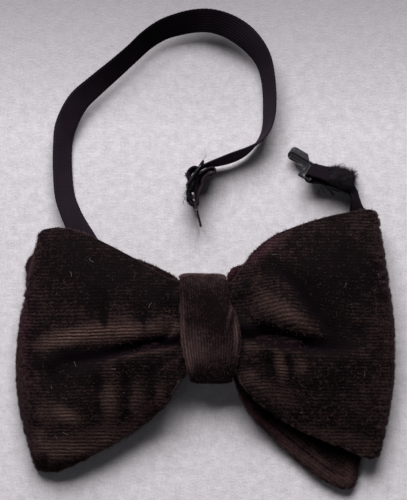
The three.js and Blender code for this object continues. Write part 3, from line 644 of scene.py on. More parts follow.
def loose_pile(name, points, faces, chance, count, length, material, seed, lean=HAIR_LEAN):
    """Pile that stands off a cloth: thin closed three-sided spikes on places picked at random in its
    faces, in proportion to area times chance, each along the face's outward direction leaning aside, and
    pressed up where it would go through the table."""
    random = np.random.default_rng(seed)
    corners = points.reshape(-1, 3)[faces]
    across = np.cross(corners[:, 2] - corners[:, 0], corners[:, 3] - corners[:, 1])
    middle = corners.mean(axis=1)
    tufted = (1.0 + soft_random(middle[:, 0] + middle[:, 2], middle[:, 1], TUFT_PITCH, seed)) ** 3
    weight = np.linalg.norm(across, axis=1) * chance * (BETWEEN_TUFTS + tufted)
    picked = random.choice(len(faces), count, p=weight / weight.sum())
    u, v = random.random((2, count, 1))
    quad = corners[picked]
    root = (quad[:, 0] * (1 - u) + quad[:, 1] * u) * (1 - v) + (quad[:, 3] * (1 - u) + quad[:, 2] * u) * v
    way = unit(unit(across[picked]) + lean * random.normal(size=(count, 3)))
    long = (length[picked] if np.ndim(length) else length) * random.uniform(SHORTEST_HAIR, 1.0, count)
    side_a = unit(np.cross(way, HAIR_SIDES_FROM))
    side_b = np.cross(way, side_a)
    turn = np.radians([0.0, 120.0, 240.0])[None, :, None]
    foot = root - HAIR_RADIUS * way
    feet = foot[:, None] + HAIR_RADIUS * (np.cos(turn) * side_a[:, None] + np.sin(turn) * side_b[:, None])
    tips = (root + way * long[:, None])[:, None]
    first = 4 * np.arange(count)[:, None, None]
    sides = np.array([[0, 1, 3], [1, 2, 3], [2, 0, 3], [0, 2, 1]])[None]
    hairs = np.concatenate([feet, tips], axis=1).reshape(-1, 3)
    hairs[:, 2] = np.maximum(hairs[:, 2], 0.0)
    return new_piece(name, hairs, (first + sides).reshape(-1, 3), material)


def over_faces(values, faces):
    """Mean over each face of a value that is given at the points."""
    return values.reshape(-1)[faces].mean(axis=1)


HAIRS_EVERYWHERE = 0.04
HAIRS_UPRIGHT = 9.0


def edge_chance(points, faces, outside, facing_up):
    """Chance of standing pile: most where a face stands upright, less where it lies flat and faces up, a
    little underneath and none inside."""
    corners = points.reshape(-1, 3)[faces]
    across = unit(np.cross(corners[:, 2] - corners[:, 0], corners[:, 3] - corners[:, 1]) + 1e-12)
    upright = (1.0 - np.abs(across[:, 2])) ** 2
    shown = over_faces(outside, faces) > 0.9
    return shown * (HAIRS_EVERYWHERE + HAIRS_UPRIGHT * upright + facing_up * np.clip(across[:, 2], 0.0, 1.0))


def pile_finish(name, low, high):
    """Single hairs, from a dark to a lighter reddish brown."""
    finish = Finish(name)
    place, _ = finish.coordinates()
    return finish.surface(
        {
            "Base Color": finish.colours(finish.noise(place, 0.0012, 2.0, 0.6) * 1.6 - 0.3, low, high),
            "Roughness": 0.9,
            "Specular IOR Level": 0.05,
        }
    )


velvet_pile = pile_finish("velvet_pile", (0.0150, 0.0082, 0.0098), (0.150, 0.092, 0.094))
BACK_RIB_TURN = np.radians(-38.0)
BACK_RIBS_TURNED = (4.0, 22.0)
# Where a purple cast is painted as sheen along the rims and edges, and where crushed pile and a painted
# sheen make the pile lighter: middle, half length, half width, turn and amount
BACK_PAINTED_TINT = [
    (-64.0, 15.0, 5.0, 20.0, 0.0, 0.9),
    (9.0, 20.0, 6.0, 4.0, 0.0, 1.0),
    (22.0, -34.0, 16.0, 3.0, -38.0, 0.6),
]
BACK_NAP_AND_PAINTED_LIGHT = [
    (25.0, -37.0, 20.0, 3.2, -42.0, 0.20),
    (38.0, -48.0, 12.0, 3.4, -34.0, 0.15),
    (46.5, -51.0, 4.0, 3.0, -20.0, 0.18),
    (49.5, -50.0, 1.8, 5.0, 0.0, 0.22),
    (39.0, -46.0, 2.4, 1.6, -38.0, 0.22),
    (8.0, 20.0, 5.0, 4.0, 0.0, 0.30),
    (-62.0, 18.0, 4.0, 9.0, 0.0, 0.30),
]


def back_ribs(x, y):
    """Rib coordinate of the back bow: distance across ribs that run along its turned right wing."""
    turned = y * np.cos(BACK_RIB_TURN) - x * np.sin(BACK_RIB_TURN)
    return y + (turned - y) * smooth(x, *BACK_RIBS_TURNED)


back_velvet = velvet(
    "back_bow_velvet",
    dark=(0.0070, 0.0042, 0.0044),
    light=(0.125, 0.068, 0.062),
    groove=(0.0030, 0.0015, 0.0024),
    glow=0.14,
    ribbed=0.62,
)
FOLD_STEPS = 48


def beside_fold(rows, x, y):
    """Distance from a fold's line, positive above it, and the place along it, counted in its rows: the
    nearest of the points along the line, and the distance and the run measured from it at right angles."""
    last = len(rows["x"]) - 1.0
    places = np.linspace(0.0, last, FOLD_STEPS)
    line, way = eased_curve(np.stack([rows["x"], rows["y"]], axis=-1), places)
    nearest = np.zeros(x.shape, int)
    least = np.full(x.shape, np.inf)
    for number, (line_x, line_y) in enumerate(line):
        away = (x - line_x) ** 2 + (y - line_y) ** 2
        nearest = np.where(away < least, number, nearest)
        least = np.minimum(away, least)
    off_x, off_y = x - line[nearest, 0], y - line[nearest, 1]
    speed = np.linalg.norm(way, axis=1)
    way_x, way_y = (way[:, 0] / speed)[nearest], (way[:, 1] / speed)[nearest]
    upwards = np.sign(line[-1, 0] - line[0, 0])
    beside = (way_x * off_y - way_y * off_x) * upwards
    on = places[nearest] + (way_x * off_x + way_y * off_y) / speed[nearest]
    return beside, on


BACK_SEAM = table_of("x y", [
    (11.0, -22.6),
    (18.0, -29.6),
    (26.0, -36.6),
    (34.0, -43.2),
    (42.0, -49.2),
    (48.0, -51.6),
])
SEAM_HALF_WIDTH = 0.55
SEAM_DEPTH = 0.4
SEAM_SHADE = 0.16
BACK_RIB_HEIGHT, BACK_RIB_WHERE_LIGHTER = 0.02, 0.03
BACK_STANDING_PILE = 0.05


def beside_seam(x, y):
    """How near a point lies to the row of stitches along the lower edge: 1 on it, a bell curve beside it."""
    beside, on = beside_fold(BACK_SEAM, x, y)
    last = len(BACK_SEAM["x"]) - 1
    ends = smooth(on, -0.5, 0.5) * (1.0 - smooth(on, last - 0.5, last + 0.5))
    return np.exp(-((beside / SEAM_HALF_WIDTH) ** 2)) * ends


def seamed_top(x, y):
    """The back bow's upper face, drawn in along the row of stitches."""
    return back_top(x, y) - SEAM_DEPTH * beside_seam(x, y)


def back_relief(x, y):
    """Height of the back bow's ribs in mm, more where crushed pile and painted sheen make it lighter."""
    return BACK_RIB_HEIGHT + BACK_RIB_WHERE_LIGHTER * np.clip(patches(BACK_NAP_AND_PAINTED_LIGHT, x, y), 0.0, 1.0)


points, faces, along, rib, side = bow_mesh(
    BACK_SECTIONS, underside, seamed_top, back_ribs, back_relief, columns=(150, 50), rows=(250, 16)
)
back_bow = new_piece("back_bow_cloth", points.reshape(-1, 3), faces, back_velvet)
x, y = points[..., 0], points[..., 1]
# Its nap: crushed pile with painted sheen, less painted shade along the row of stitches
back_nap_and_painted_light = patches(BACK_NAP_AND_PAINTED_LIGHT, x, y) - SEAM_SHADE * beside_seam(x, y) * (side > 0)
dress(back_bow, points, along, rib, nap=BACK_STANDING_PILE + back_nap_and_painted_light, tint=patches(BACK_PAINTED_TINT, x, y))
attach(back_bow, "root")
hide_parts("back_bow")
chance = edge_chance(points, faces, np.abs(side), facing_up=0.13)
back_pile = loose_pile(
    "back_bow_pile", points, faces, chance, count=24000, length=1.15, material=velvet_pile, seed=11
)
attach(back_pile, "root")

# Front bow: a second, larger loop of the same velvet on top of the first. Its upper layer is drawn into
# one long sharp fold on the left and a deep hollow with a slanting crease on the right. Its pile is crushed
# to a lighter brown, with a painted sheen, on the slopes that lead into them, and painted shade darkens
# the folds themselves.
FRONT_WING_THICKNESS = 10.2
LAYER_GAP, PLEATED_GAP = 0.8, 1.1
FRONT_SWELL_REACH = 20.0
FOLD_START = 12.5
FRONT_DROOP = 2.6
DROOP = (56.0, 63.0)
FRONT_HEM_DROOP = 2.4
OVERHANG_SAG = 5.0
OVERHANG = (0.8, 6.5)
BACK_LOW_EDGE = (-57.4, -9.0)
BACK_LEFT_END = ((-42.0, 22.8), (-59.0, -66.6))
PLEAT_SHARE_ON_TOP = 0.15

# Folds, each from the knot outwards in mm: the line, the half widths over which the cloth rises again above
# and below it, and the height, which is 0 at both ends
FRONT_FOLDS = [
    table_of("x y above below height", rows)
    for rows in (
        [  # the long valley of the left wing, under a rounded ridge
            (-6.0, -2.6, 3.2, 1.4, 0.0),
            (-11.0, -3.9, 2.2, 1.1, -4.2),
            (-16.3, -4.9, 2.2, 1.1, -4.8),
            (-24.4, -6.5, 2.5, 1.2, -4.7),
            (-31.9, -8.0, 3.2, 1.5, -4.3),
            (-39.4, -9.4, 6.0, 2.4, -3.6),
            (-47.0, -9.8, 6.6, 4.0, -2.4),
            (-56.0, -9.0, 7.0, 5.0, 0.0),
        ],
        [  # the ridge below it
            (-8.0, -6.4, 3.0, 5.0, 0.0),
            (-16.0, -8.2, 3.0, 5.5, 1.2),
            (-30.0, -12.2, 3.4, 6.5, 1.5),
            (-42.0, -15.2, 4.0, 7.0, 0.9),
            (-54.0, -17.0, 4.0, 7.0, 0.0),
        ],
        # dents in the slope below it, and two at the wing's end
        [(-40.0, -12.5, 2.2, 2.2, 0.0), (-39.4, -20.0, 2.4, 2.4, -1.3), (-38.8, -37.0, 2.4, 2.4, 0.0)],
        [(-30.0, -12.0, 2.0, 2.0, 0.0), (-29.4, -19.0, 2.2, 2.2, -1.2), (-28.6, -32.0, 2.2, 2.2, 0.0)],
        [(-21.0, -10.0, 1.8, 1.8, 0.0), (-20.7, -16.0, 2.0, 2.0, -1.0), (-19.6, -27.0, 2.0, 2.0, 0.0)],
        [(-57.0, -11.0, 3.0, 3.0, 0.0), (-55.0, -16.0, 3.2, 3.2, -1.3), (-50.0, -24.0, 3.0, 3.0, 0.0)],
        [(-64.0, -29.0, 1.6, 2.4, 0.0), (-60.0, -34.0, 1.8, 3.0, -0.8), (-52.0, -38.5, 1.8, 3.0, 0.0)],
        # two dents above the valley, and a broad swelling up to the wing's upper corner
        [(-36.4, 13.0, 2.0, 2.0, 0.0), (-36.9, 4.0, 2.2, 2.2, -0.8), (-37.6, -6.0, 2.0, 2.0, 0.0)],
        [(-23.6, 12.0, 1.8, 1.8, 0.0), (-23.2, 4.0, 2.0, 2.0, -0.7), (-22.8, -5.0, 2.0, 2.0, 0.0)],
        [(-55.0, 24.0, 8.0, 8.0, 0.0), (-38.0, 17.0, 8.0, 8.0, 0.9), (-22.0, 9.0, 7.0, 7.0, 0.0)],
        [  # the deep hollow of the right wing, over a rounded lip
            (7.0, 0.2, 4.0, 1.8, 0.0),
            (11.5, -1.0, 3.6, 1.8, -5.0),
            (18.0, -2.1, 3.4, 1.8, -6.8),
            (27.0, -4.1, 3.2, 1.6, -6.0),
            (36.0, -6.2, 3.2, 1.5, -4.2),
            (44.0, -6.4, 4.0, 1.7, -2.4),
            (54.0, -6.0, 4.0, 2.6, 0.0),
        ],
        [  # that lip
            (8.0, -5.2, 3.0, 5.0, 0.0),
            (17.0, -6.6, 3.0, 5.0, 1.5),
            (26.0, -8.6, 3.0, 5.2, 1.4),
            (34.0, -10.6, 3.0, 5.4, 1.1),
            (48.0, -10.6, 3.4, 6.0, 1.2),
            (64.0, -12.6, 3.4, 6.0, 0.0),
        ],
        [  # the slanting crease, and the roll to the left of it
            (19.0, 24.0, 3.0, 1.6, 0.0),
            (24.8, 20.0, 3.2, 1.5, -1.2),
            (31.3, 14.1, 3.8, 1.6, -1.8),
            (37.0, 5.6, 4.2, 1.8, -2.1),
            (42.0, 0.4, 4.0, 2.2, -1.4),
            (50.0, -4.0, 4.0, 2.4, 0.0),
        ],
        [
            (10.0, 16.0, 3.4, 3.4, 0.0),
            (19.0, 11.2, 4.0, 4.0, 1.1),
            (28.0, 4.2, 4.0, 4.0, 1.4),
            (38.0, -4.0, 3.0, 3.0, 0.0),
        ],
        # dents below the lip, and one right of the crease
        [(20.0, -7.0, 1.6, 1.6, 0.0), (20.6, -12.0, 1.7, 1.7, -1.3), (22.6, -19.0, 1.7, 1.7, 0.0)],
        [(28.0, -8.0, 1.5, 1.5, 0.0), (27.6, -12.5, 1.6, 1.6, -1.1), (28.8, -18.0, 1.6, 1.6, 0.0)],
        [(9.0, -11.0, 1.8, 1.8, 0.0), (14.0, -13.0, 1.8, 1.8, -0.9), (20.0, -19.5, 1.8, 1.8, 0.0)],
        [(42.0, 3.0, 2.4, 3.0, 0.0), (52.0, -1.0, 2.6, 3.4, -0.9), (62.0, -3.6, 2.4, 3.0, 0.0)],
        # a broad swelling in the upper half, and a dent across it
        [(30.0, 25.0, 7.0, 7.0, 0.0), (44.0, 21.0, 8.0, 8.0, 1.0), (60.0, 16.0, 7.0, 7.0, 0.0)],
        [(44.0, 34.0, 2.6, 2.6, 0.0), (47.0, 24.0, 3.0, 3.0, -0.7), (47.6, 14.0, 2.6, 2.6, 0.0)],
    )
]
# Small waves in the cloth of its upper face: height, pitch and seed
FRONT_WAVES = [(0.22, 7.0, 3), (0.10, 3.1, 4)]
# Where the ribs are bent: middle, half length, half width, turn, and by how much
FRONT_RIB_BENDS = [
    (-52.0, 2.0, 22.0, 9.0, 0.0, 1.2),
    (-30.0, -20.0, 20.0, 10.0, 0.0, -0.8),
    (28.0, 10.0, 15.0, 9.0, -42.0, -3.4),
    (52.0, 4.0, 14.0, 12.0, 0.0, 1.2),
    (20.0, -20.0, 12.0, 7.0, -30.0, -1.6),
]
FOLD_ROUNDING = 0.2


def folds(all_folds, x, y):
    """Sum of the folds: each has its height at its line, and falls off on either side over its half width
    there, as exp(-distance ** 1.5), rounded at the line itself."""
    total = np.zeros_like(x)
    for rows in all_folds:
        beside, on = beside_fold(rows, x, y)
        at = np.arange(len(rows["x"]))
        above, below, height = (np.interp(on, at, rows[name]) for name in ("above", "below", "height"))
        away = np.hypot(beside / np.where(beside > 0, above, below), FOLD_ROUNDING) - FOLD_ROUNDING
        total += height * np.exp(-(away**1.5))
    return total


def creases(all_folds, x, y, half_width):
    """How far each point lies in the bottom of a fold: its depth in mm, times a narrow bell curve."""
    total = np.zeros_like(x)
    for rows in all_folds:
        if rows["height"].min() < 0:
            beside, on = beside_fold(rows, x, y)
            height = np.interp(on, np.arange(len(rows["x"])), rows["height"])
            total -= height * np.exp(-((beside / half_width) ** 2))
    return total


def overhang(x, y):
    """How far a point of the left wing lies out past the back bow's lower edge and left end, in mm."""
    below = np.maximum(column(BACK_SECTIONS, "low_x", "low_y", np.clip(x, *BACK_LOW_EDGE)) - y, 0.0)
    beside = np.maximum(np.interp(y, *BACK_LEFT_END) - x, 0.0)
    return np.hypot(below, beside) * (x < 0)


def front_underside(x, y):
    """The back bow's upper face, a gap higher, sinking past the back bow's right end, and past its lower
    left edge almost to the table."""
    gap = LAYER_GAP + (PLEATED_GAP - LAYER_GAP) * pinch(x)
    left_sag = OVERHANG_SAG * smooth(overhang(x, y), *OVERHANG) * (1.0 - pinch(x))
    return back_top(x, y) + gap - (FRONT_DROOP * smooth(x, *DROOP) + left_sag)


def front_top(x, y):
    """The front bow's upper face: its underside, the wing's thickness and the folds, with low pleats at
    the knot and small waves in the cloth. It is never closer to the underside than two walls: the larger
    of the two heights, rounded where they meet."""
    under = front_underside(x, y)
    least = under + 2 * VELVET_WALL + PINCHED_HOLLOW
    flatter = (1.0 - PLEAT_SHARE_ON_TOP) * pleats(x, y) * pinch(x)
    waves = sum(height * soft_random(x, y, pitch, seed) for height, pitch, seed in FRONT_WAVES)
    thickness = bow_thickness(x, y, FRONT_WING_THICKNESS, FRONT_SWELL_REACH) - FRONT_HEM_DROOP * hem(x, y)
    free = under - flatter + thickness + waves
    free = free + folds(FRONT_FOLDS, x, y) * (1.0 - pinch(x, FOLD_START))
    return (least + free + np.hypot(least - free, SOFT_LIMIT)) / 2


def front_ribs(x, y):
    """Rib coordinate of the front bow: the height up the bow, bent where the cloth is drawn into folds."""
    return y + patches(FRONT_RIB_BENDS, x, y)


# Where crushing and painted sheen lighten the pile, or painted shade darkens it in folds and hollows: middle,
# half length, half width, turn, amount
FRONT_NAP_AND_PAINTED_LIGHT = [
    (-48.8, -2.7, 10.2, 2.6, 11.0, 0.72),
    (-35.8, -1.9, 8.0, 3.0, 6.0, 0.43),
    (-28.6, -1.2, 4.5, 3.4, 4.0, 0.30),
    (-37.0, 1.0, 1.1, 6.0, 0.0, -0.18),
    (-23.2, 3.0, 1.1, 6.0, 0.0, -0.15),
    (-17.0, 0.4, 8.0, 3.9, 8.0, 0.28),
    (-30.0, -7.2, 24.0, 1.3, 10.0, -0.60),
    (-48.0, -11.0, 9.0, 4.5, 10.0, -0.22),
    (-35.2, -26.2, 2.8, 5.6, 0.0, 0.46),
    (-25.5, -25.8, 2.5, 5.6, 0.0, 0.40),
    (-17.4, -22.0, 2.0, 4.0, 0.0, 0.30),
    (-50.9, -29.9, 4.8, 2.5, -20.0, 0.50),
    (-46.0, -42.0, 18.0, 4.8, 6.0, 0.54),
    (-33.4, -36.6, 8.6, 2.6, 14.0, 0.36),
    (-24.0, -8.0, 15.0, 1.3, 10.0, 0.22),
    (-67.0, -6.0, 2.4, 34.0, 0.0, 0.30),
    (-60.0, -36.0, 3.0, 10.0, -10.0, 0.14),
    (-38.0, 20.0, 26.0, 10.0, -20.0, -0.10),
    (26.4, 4.6, 10.8, 4.0, -34.0, 0.31),
    (19.0, 12.0, 4.6, 5.0, 0.0, 0.08),
    (24.6, -3.0, 13.0, 2.0, -9.0, -0.84),
    (40.0, 2.0, 3.0, 9.0, 42.0, -0.12),
    (31.0, 15.0, 7.0, 1.8, -42.0, -0.16),
    (37.0, 20.0, 9.0, 5.0, -12.0, -0.04),
    (55.0, 5.0, 8.0, 8.0, -10.0, 0.08),
    (46.0, 16.0, 14.0, 12.0, -10.0, -0.16),
    (15.0, -17.0, 3.6, 3.2, -35.0, 0.12),
    (24.8, -13.6, 1.6, 4.2, 12.0, 0.62),
    (32.0, -13.0, 2.4, 2.4, 0.0, 0.34),
    (23.0, -23.0, 9.0, 3.0, -28.0, 0.26),
    (16.0, -6.8, 6.0, 1.2, -6.0, 0.20),
    (46.0, -38.0, 13.0, 2.4, -14.0, 0.20),
    (63.0, -20.0, 3.0, 22.0, 0.0, 0.10),
    (20.0, 29.0, 11.0, 2.6, 38.0, 0.18),
]

# Where a purple cast is painted: sheen along the rims and edges, and shade in the left valley, in the same
# columns
FRONT_PAINTED_TINT = [
    (-66.0, -6.0, 3.6, 36.0, 0.0, 1.0),
    (-61.0, 33.0, 5.0, 4.0, 0.0, 0.8),
    (-62.0, -46.0, 5.0, 5.0, 0.0, 0.8),
    (17.0, 28.0, 12.0, 4.0, 42.0, 0.9),
    (60.0, -6.0, 3.0, 26.0, 0.0, 0.3),
    (-18.0, -26.0, 8.0, 4.0, 30.0, 0.5),
    (-28.0, -5.8, 24.0, 1.5, 10.0, 0.5),
]
# Painted shade: a purple cast added at the bottoms of the creases
SHADE_TINT_IN_CREASES = 0.13
TINT_HALF_WIDTH = 2.2
STANDING_PILE = 0.05
CREASE_SHADE = 0.11
CREASE_HALF_WIDTH = 1.3
PILE_LESS_IN_CREASES = 0.7
PILE_CREASE_HALF_WIDTH = 2.6
FRONT_RIB_HEIGHT, FRONT_RIB_WHERE_LIGHTER = 0.015, 0.10
front_velvet = velvet(
    "front_bow_velvet",
    dark=(0.0070, 0.0045, 0.0050),
    light=(0.185, 0.113, 0.094),
    groove=(0.0021, 0.0010, 0.0019),
    glow=0.16,
)


def front_relief(x, y):
    """Height of the front bow's ribs in mm, more where crushed pile and painted sheen make it lighter."""
    return FRONT_RIB_HEIGHT + FRONT_RIB_WHERE_LIGHTER * np.clip(patches(FRONT_NAP_AND_PAINTED_LIGHT, x, y), 0.0, 1.0)


points, faces, along, rib, side = bow_mesh(
    FRONT_SECTIONS, front_underside, front_top, front_ribs, front_relief, columns=(200, 50), rows=(290, 16)
)
front_bow = new_piece("front_bow_cloth", points.reshape(-1, 3), faces, front_velvet)
x, y = points[..., 0], points[..., 1]
# Its nap: crushed pile with painted sheen, less painted shade along the creases; its tint: painted purple on
# rims and in creases
front_nap_and_painted_light = patches(FRONT_NAP_AND_PAINTED_LIGHT, x, y) - CREASE_SHADE * creases(FRONT_FOLDS, x, y, CREASE_HALF_WIDTH)
front_painted_tint = patches(FRONT_PAINTED_TINT, x, y) + SHADE_TINT_IN_CREASES * creases(FRONT_FOLDS, x, y, TINT_HALF_WIDTH)
dress(front_bow, points, along, rib, nap=STANDING_PILE + front_nap_and_painted_light * (side > 0), tint=front_painted_tint)
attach(front_bow, "root")
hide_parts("front_bow")
crease_depth = over_faces(creases(FRONT_FOLDS, x, y, PILE_CREASE_HALF_WIDTH) * (side > 0), faces)
chance = edge_chance(points, faces, np.abs(side), facing_up=0.13)
chance = chance * np.clip(1.0 - PILE_LESS_IN_CREASES * crease_depth, 0.03, 1.0)
front_pile = loose_pile(
    "front_bow_pile", points, faces, chance, count=42000, length=1.2, material=velvet_pile, seed=12
)
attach(front_pile, "root")

# Knot: an upright band of the same velvet, its edges rolled under, wrapped round both bows and the elastic
# and sewn behind. A painted highlight lightens its pile along its rolled edges and on its lower left.
KNOT_HOLE = {"y": (-16.7, 17.7), "z": (1.5, 15.3), "squareness": 6.0}
KNOT_OUTSIDE = {"y": (-18.4, 19.4), "z": (-0.6, 18.2), "squareness": 3.4}
KNOT_EDGES = table_of("y left right", [
    (-18.4, -6.9, 7.6),
    (-16.4, -7.6, 8.3),
    (-10.6, -8.9, 9.9),
    (-3.1, -10.1, 10.8),
    (4.6, -10.4, 9.5),
    (9.5, -10.5, 7.4),
    (17.0, -10.7, 5.9),
    (19.4, -10.6, 5.0),
])
KNOT_EDGE_WALL = 0.95
KNOT_BACK_SHARE = 0.84
KNOT_WIDENS = (3.0, 9.0)
KNOT_CROWN = 4
KNOT_STEPS = 420
KNOT_ROWS_OUTSIDE, KNOT_ROWS_INSIDE = 170, 12
KNOT_ROWS_CROWDED = 0.5
KNOT_RIB_SPREAD = 25.0
KNOT_RIB_HEIGHT, KNOT_RIB_WHERE_LIGHTER = 0.03, 0.03
KNOT_RIB_FREE_RIM = 0.02
KNOT_MEAN_RADIUS = 15.0
KNOT_FRONT = (6.0, 13.0)
KNOT_ABOVE_TABLE = (0.3, 1.5)
KNOT_WAVE = {"height": 0.12, "pitch": 4.0, "seed": 7}
KNOT_STANDING_PILE = 0.06
KNOT_TINT = 0.1
KNOT_PILE_ABOVE = 1.0
KNOT_FUZZY_TOP, KNOT_FUZZ = (16.0, 18.6), 4

# Folds in its face, in the columns of FRONT_FOLDS
KNOT_FOLDS = [
    table_of("x y above below height", rows)
    for rows in (
        [  # the roll at its left edge, and the crease beside it
            (-9.4, 17.0, 1.3, 1.3, 0.0),
            (-9.0, 6.0, 1.3, 1.3, 0.3),
            (-9.1, -6.0, 1.3, 1.3, 0.3),
            (-7.6, -17.0, 1.3, 1.3, 0.0),
        ],
        [(-7.2, 16.0, 1.2, 1.2, 0.0), (-7.2, 0.0, 1.2, 1.2, -0.6), (-6.4, -14.0, 1.2, 1.2, 0.0)],
        [  # the crease beside its right edge
            (4.6, 14.0, 1.1, 1.1, 0.0),
            (7.2, 4.0, 1.1, 1.1, -0.5),
            (8.2, -3.0, 1.1, 1.1, -0.5),
            (8.0, -12.0, 1.1, 1.1, 0.0),
        ],
        # a low swelling down its middle
        [(-2.0, 14.0, 2.6, 2.6, 0.0), (-1.6, 0.0, 2.6, 2.6, 0.3), (-1.0, -14.0, 2.6, 2.6, 0.0)],
    )
]

# Where a painted highlight makes its pile lighter, or it is a little darker, in the columns of
# FRONT_NAP_AND_PAINTED_LIGHT
KNOT_NAP_AND_PAINTED_LIGHT = [
    (-9.7, 0.0, 1.0, 9.0, 0.0, 0.50),
    (-8.0, -9.5, 1.6, 6.0, 12.0, 0.62),
    (-5.2, -6.0, 3.0, 6.0, 8.0, 0.26),
    (-1.5, -8.5, 4.0, 4.0, 0.0, 0.16),
    (4.0, -8.0, 3.0, 4.0, 0.0, 0.10),
    (9.3, -1.0, 0.8, 7.0, 0.0, 0.62),
    (7.2, 6.0, 0.6, 5.0, -14.0, 0.40),
    (-1.0, 8.0, 5.0, 6.0, 0.0, -0.08),
    (4.0, 1.0, 3.0, 5.0, 0.0, -0.08),
    (-2.5, 16.0, 6.0, 3.0, 0.0, 0.12),
]


def rounded_point(section, angle):
    """Point of a rounded rectangle in the plane across the bow, at an angle from +Y towards +Z: on it
    |y|^n + |z|^n is 1, counted in half sides, with n the squareness."""
    c, s, n = np.cos(angle), np.sin(angle), section["squareness"]
    reach = (np.abs(c) ** n + np.abs(s) ** n) ** (-1 / n)
    y = np.mean(section["y"]) + np.ptp(section["y"]) / 2 * c * reach
    z = np.mean(section["z"]) + np.ptp(section["z"]) / 2 * s * reach
    return y, z


def knot_face(across, angle, inside):
    """Points of the knot's outside, crowned across the band by (1 - |2 across - 1|^4)^0.5, or of its hole."""
    hole_y, hole_z = rounded_point(KNOT_HOLE, angle)
    outside_y, outside_z = rounded_point(KNOT_OUTSIDE, angle)
    share = KNOT_BACK_SHARE + (1 - KNOT_BACK_SHARE) * smooth(outside_z, *KNOT_WIDENS)
    left = share * column(KNOT_EDGES, "y", "left", outside_y)
    right = share * column(KNOT_EDGES, "y", "right", outside_y)
    x = left + (right - left) * across
    wall = np.hypot(outside_y - hole_y, outside_z - hole_z)
    crown = np.sqrt(np.maximum(0.0, 1 - np.abs(2 * across - 1) ** KNOT_CROWN))
    out = KNOT_EDGE_WALL / wall + (1 - KNOT_EDGE_WALL / wall) * crown
    out = np.where(inside, 0.0, out)
    y = hole_y + (outside_y - hole_y) * out
    z = hole_z + (outside_z - hole_z) * out
    return np.stack([x, y, np.maximum(z, 0.0)], axis=-1)


crowded = (1 - np.cos(np.linspace(0.0, np.pi, KNOT_ROWS_OUTSIDE))) / 2
even = np.linspace(0.0, 1.0, KNOT_ROWS_OUTSIDE)
across_outside = crowded * KNOT_ROWS_CROWDED + even * (1 - KNOT_ROWS_CROWDED)
across_inside = np.linspace(1.0, 0.0, KNOT_ROWS_INSIDE)
across, angle = np.meshgrid(
    np.concatenate([across_outside, across_inside]),
    np.linspace(0.0, 2 * np.pi, KNOT_STEPS, endpoint=False),
    indexing="ij",
)
on_outside = (np.arange(len(across)) < KNOT_ROWS_OUTSIDE)[:, None] & np.ones(across.shape, bool)
points = knot_face(across, angle, ~on_outside)
faces = facing_out(points.reshape(-1, 3), ring_faces(*points.shape[:2]))
rib = (across - 0.5) * KNOT_RIB_SPREAD
x, y, z = (points[..., axis] for axis in range(3))
front = on_outside * smooth(z, *KNOT_FRONT)
# Its nap: painted highlights on the front of the band
knot_nap_and_painted_light = patches(KNOT_NAP_AND_PAINTED_LIGHT, x, y) * front
wave = KNOT_WAVE["height"] * soft_random(x, y, KNOT_WAVE["pitch"], KNOT_WAVE["seed"])
rim_fade = smooth(np.minimum(across, 1 - across), 0.0, KNOT_RIB_FREE_RIM)
rib_height = KNOT_RIB_HEIGHT + KNOT_RIB_WHERE_LIGHTER * np.clip(knot_nap_and_painted_light, 0.0, 1.0)
lift = front * (folds(KNOT_FOLDS, x, y) + wave) + on_outside * rim_fade * rib_height * rib_wave(rib)
clear = smooth(z, *KNOT_ABOVE_TABLE)
points = points + grid_normals(points, faces) * (lift * clear)[..., None]
knot_velvet = velvet(
    "knot_velvet",
    dark=(0.0080, 0.0047, 0.0049),
    light=(0.140, 0.086, 0.079),
    groove=(0.0026, 0.0014, 0.0022),
    glow=0.10,
    ribbed=0.8,
)
knot = new_piece("knot_cloth", points.reshape(-1, 3), faces, knot_velvet)
dress(knot, points, angle * KNOT_MEAN_RADIUS, rib, nap=KNOT_STANDING_PILE + knot_nap_and_painted_light, tint=KNOT_TINT)
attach(knot, "root")
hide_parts("knot_band")
chance = edge_chance(points, faces, on_outside.astype(float), facing_up=0.25)
chance = chance * (over_faces(points[..., 2], faces) > KNOT_PILE_ABOVE)
chance = chance * (1 + KNOT_FUZZ * smooth(over_faces(points[..., 1], faces), *KNOT_FUZZY_TOP))
knot_pile = loose_pile(
    "knot_pile", points, faces, chance, count=16000, length=0.85, material=velvet_pile, seed=13
)
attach(knot_pile, "root")

# Elastic: one flat woven band, black with a purple cast, about 9 mm wide. It runs from the cut end at the
# hook clip behind the bow, round the neck loop, through the slide and the eye plate and back to the slide.
ELASTIC_WIDTH = 8.6
ELASTIC_THICKNESS = 1.0
ELASTIC_CORDS = 9
CORD_RELIEF = 0.045
ELASTIC_STEPS = 760
ELASTIC_ACROSS = 46
ELASTIC_CROWDED = 0.35
EDGE_THINNING = 0.55
EDGE_WAVE = 0.05
EDGE_WAVE_PITCH = 1.3
WEFT_PITCH, CORD_PITCH = 0.00062, 0.00092
# Painted light and shade along the band: lighter on the left stretch and from the right stretch to the
# fittings,
# darkest over the arch: distances from the clip in mm, and shares
ELASTIC_PAINTED_LIGHT = (
    (0, 40, 150, 180, 205, 232, 250, 265, 280, 292, 306, 330, 360, 390),
    (0.45, 0.4, 0.6, 0.95, 0.95, 0.5, 0.2, 0.08, 0.2, 0.55, 0.9, 1.1, 1.1, 1.1),
)
# How far the lower edge leans in under the loops at the fittings: places counted in rows of the route, and mm
ELASTIC_LEAN = (
    (60, 61, 62, 63, 64, 65, 66, 67, 69, 72, 73, 74, 75, 76, 77, 78, 79, 80, 81, 82, 84),
    (0, 0.9, 1.2, 1.2, 0.7, 0, 0.2, 0.5, 0.3, 0, 0.4, 1.2, 1.7, 1.7, 1.0, 0.3, 0.5, 0.8, 0.4, 0.1, 0),
)
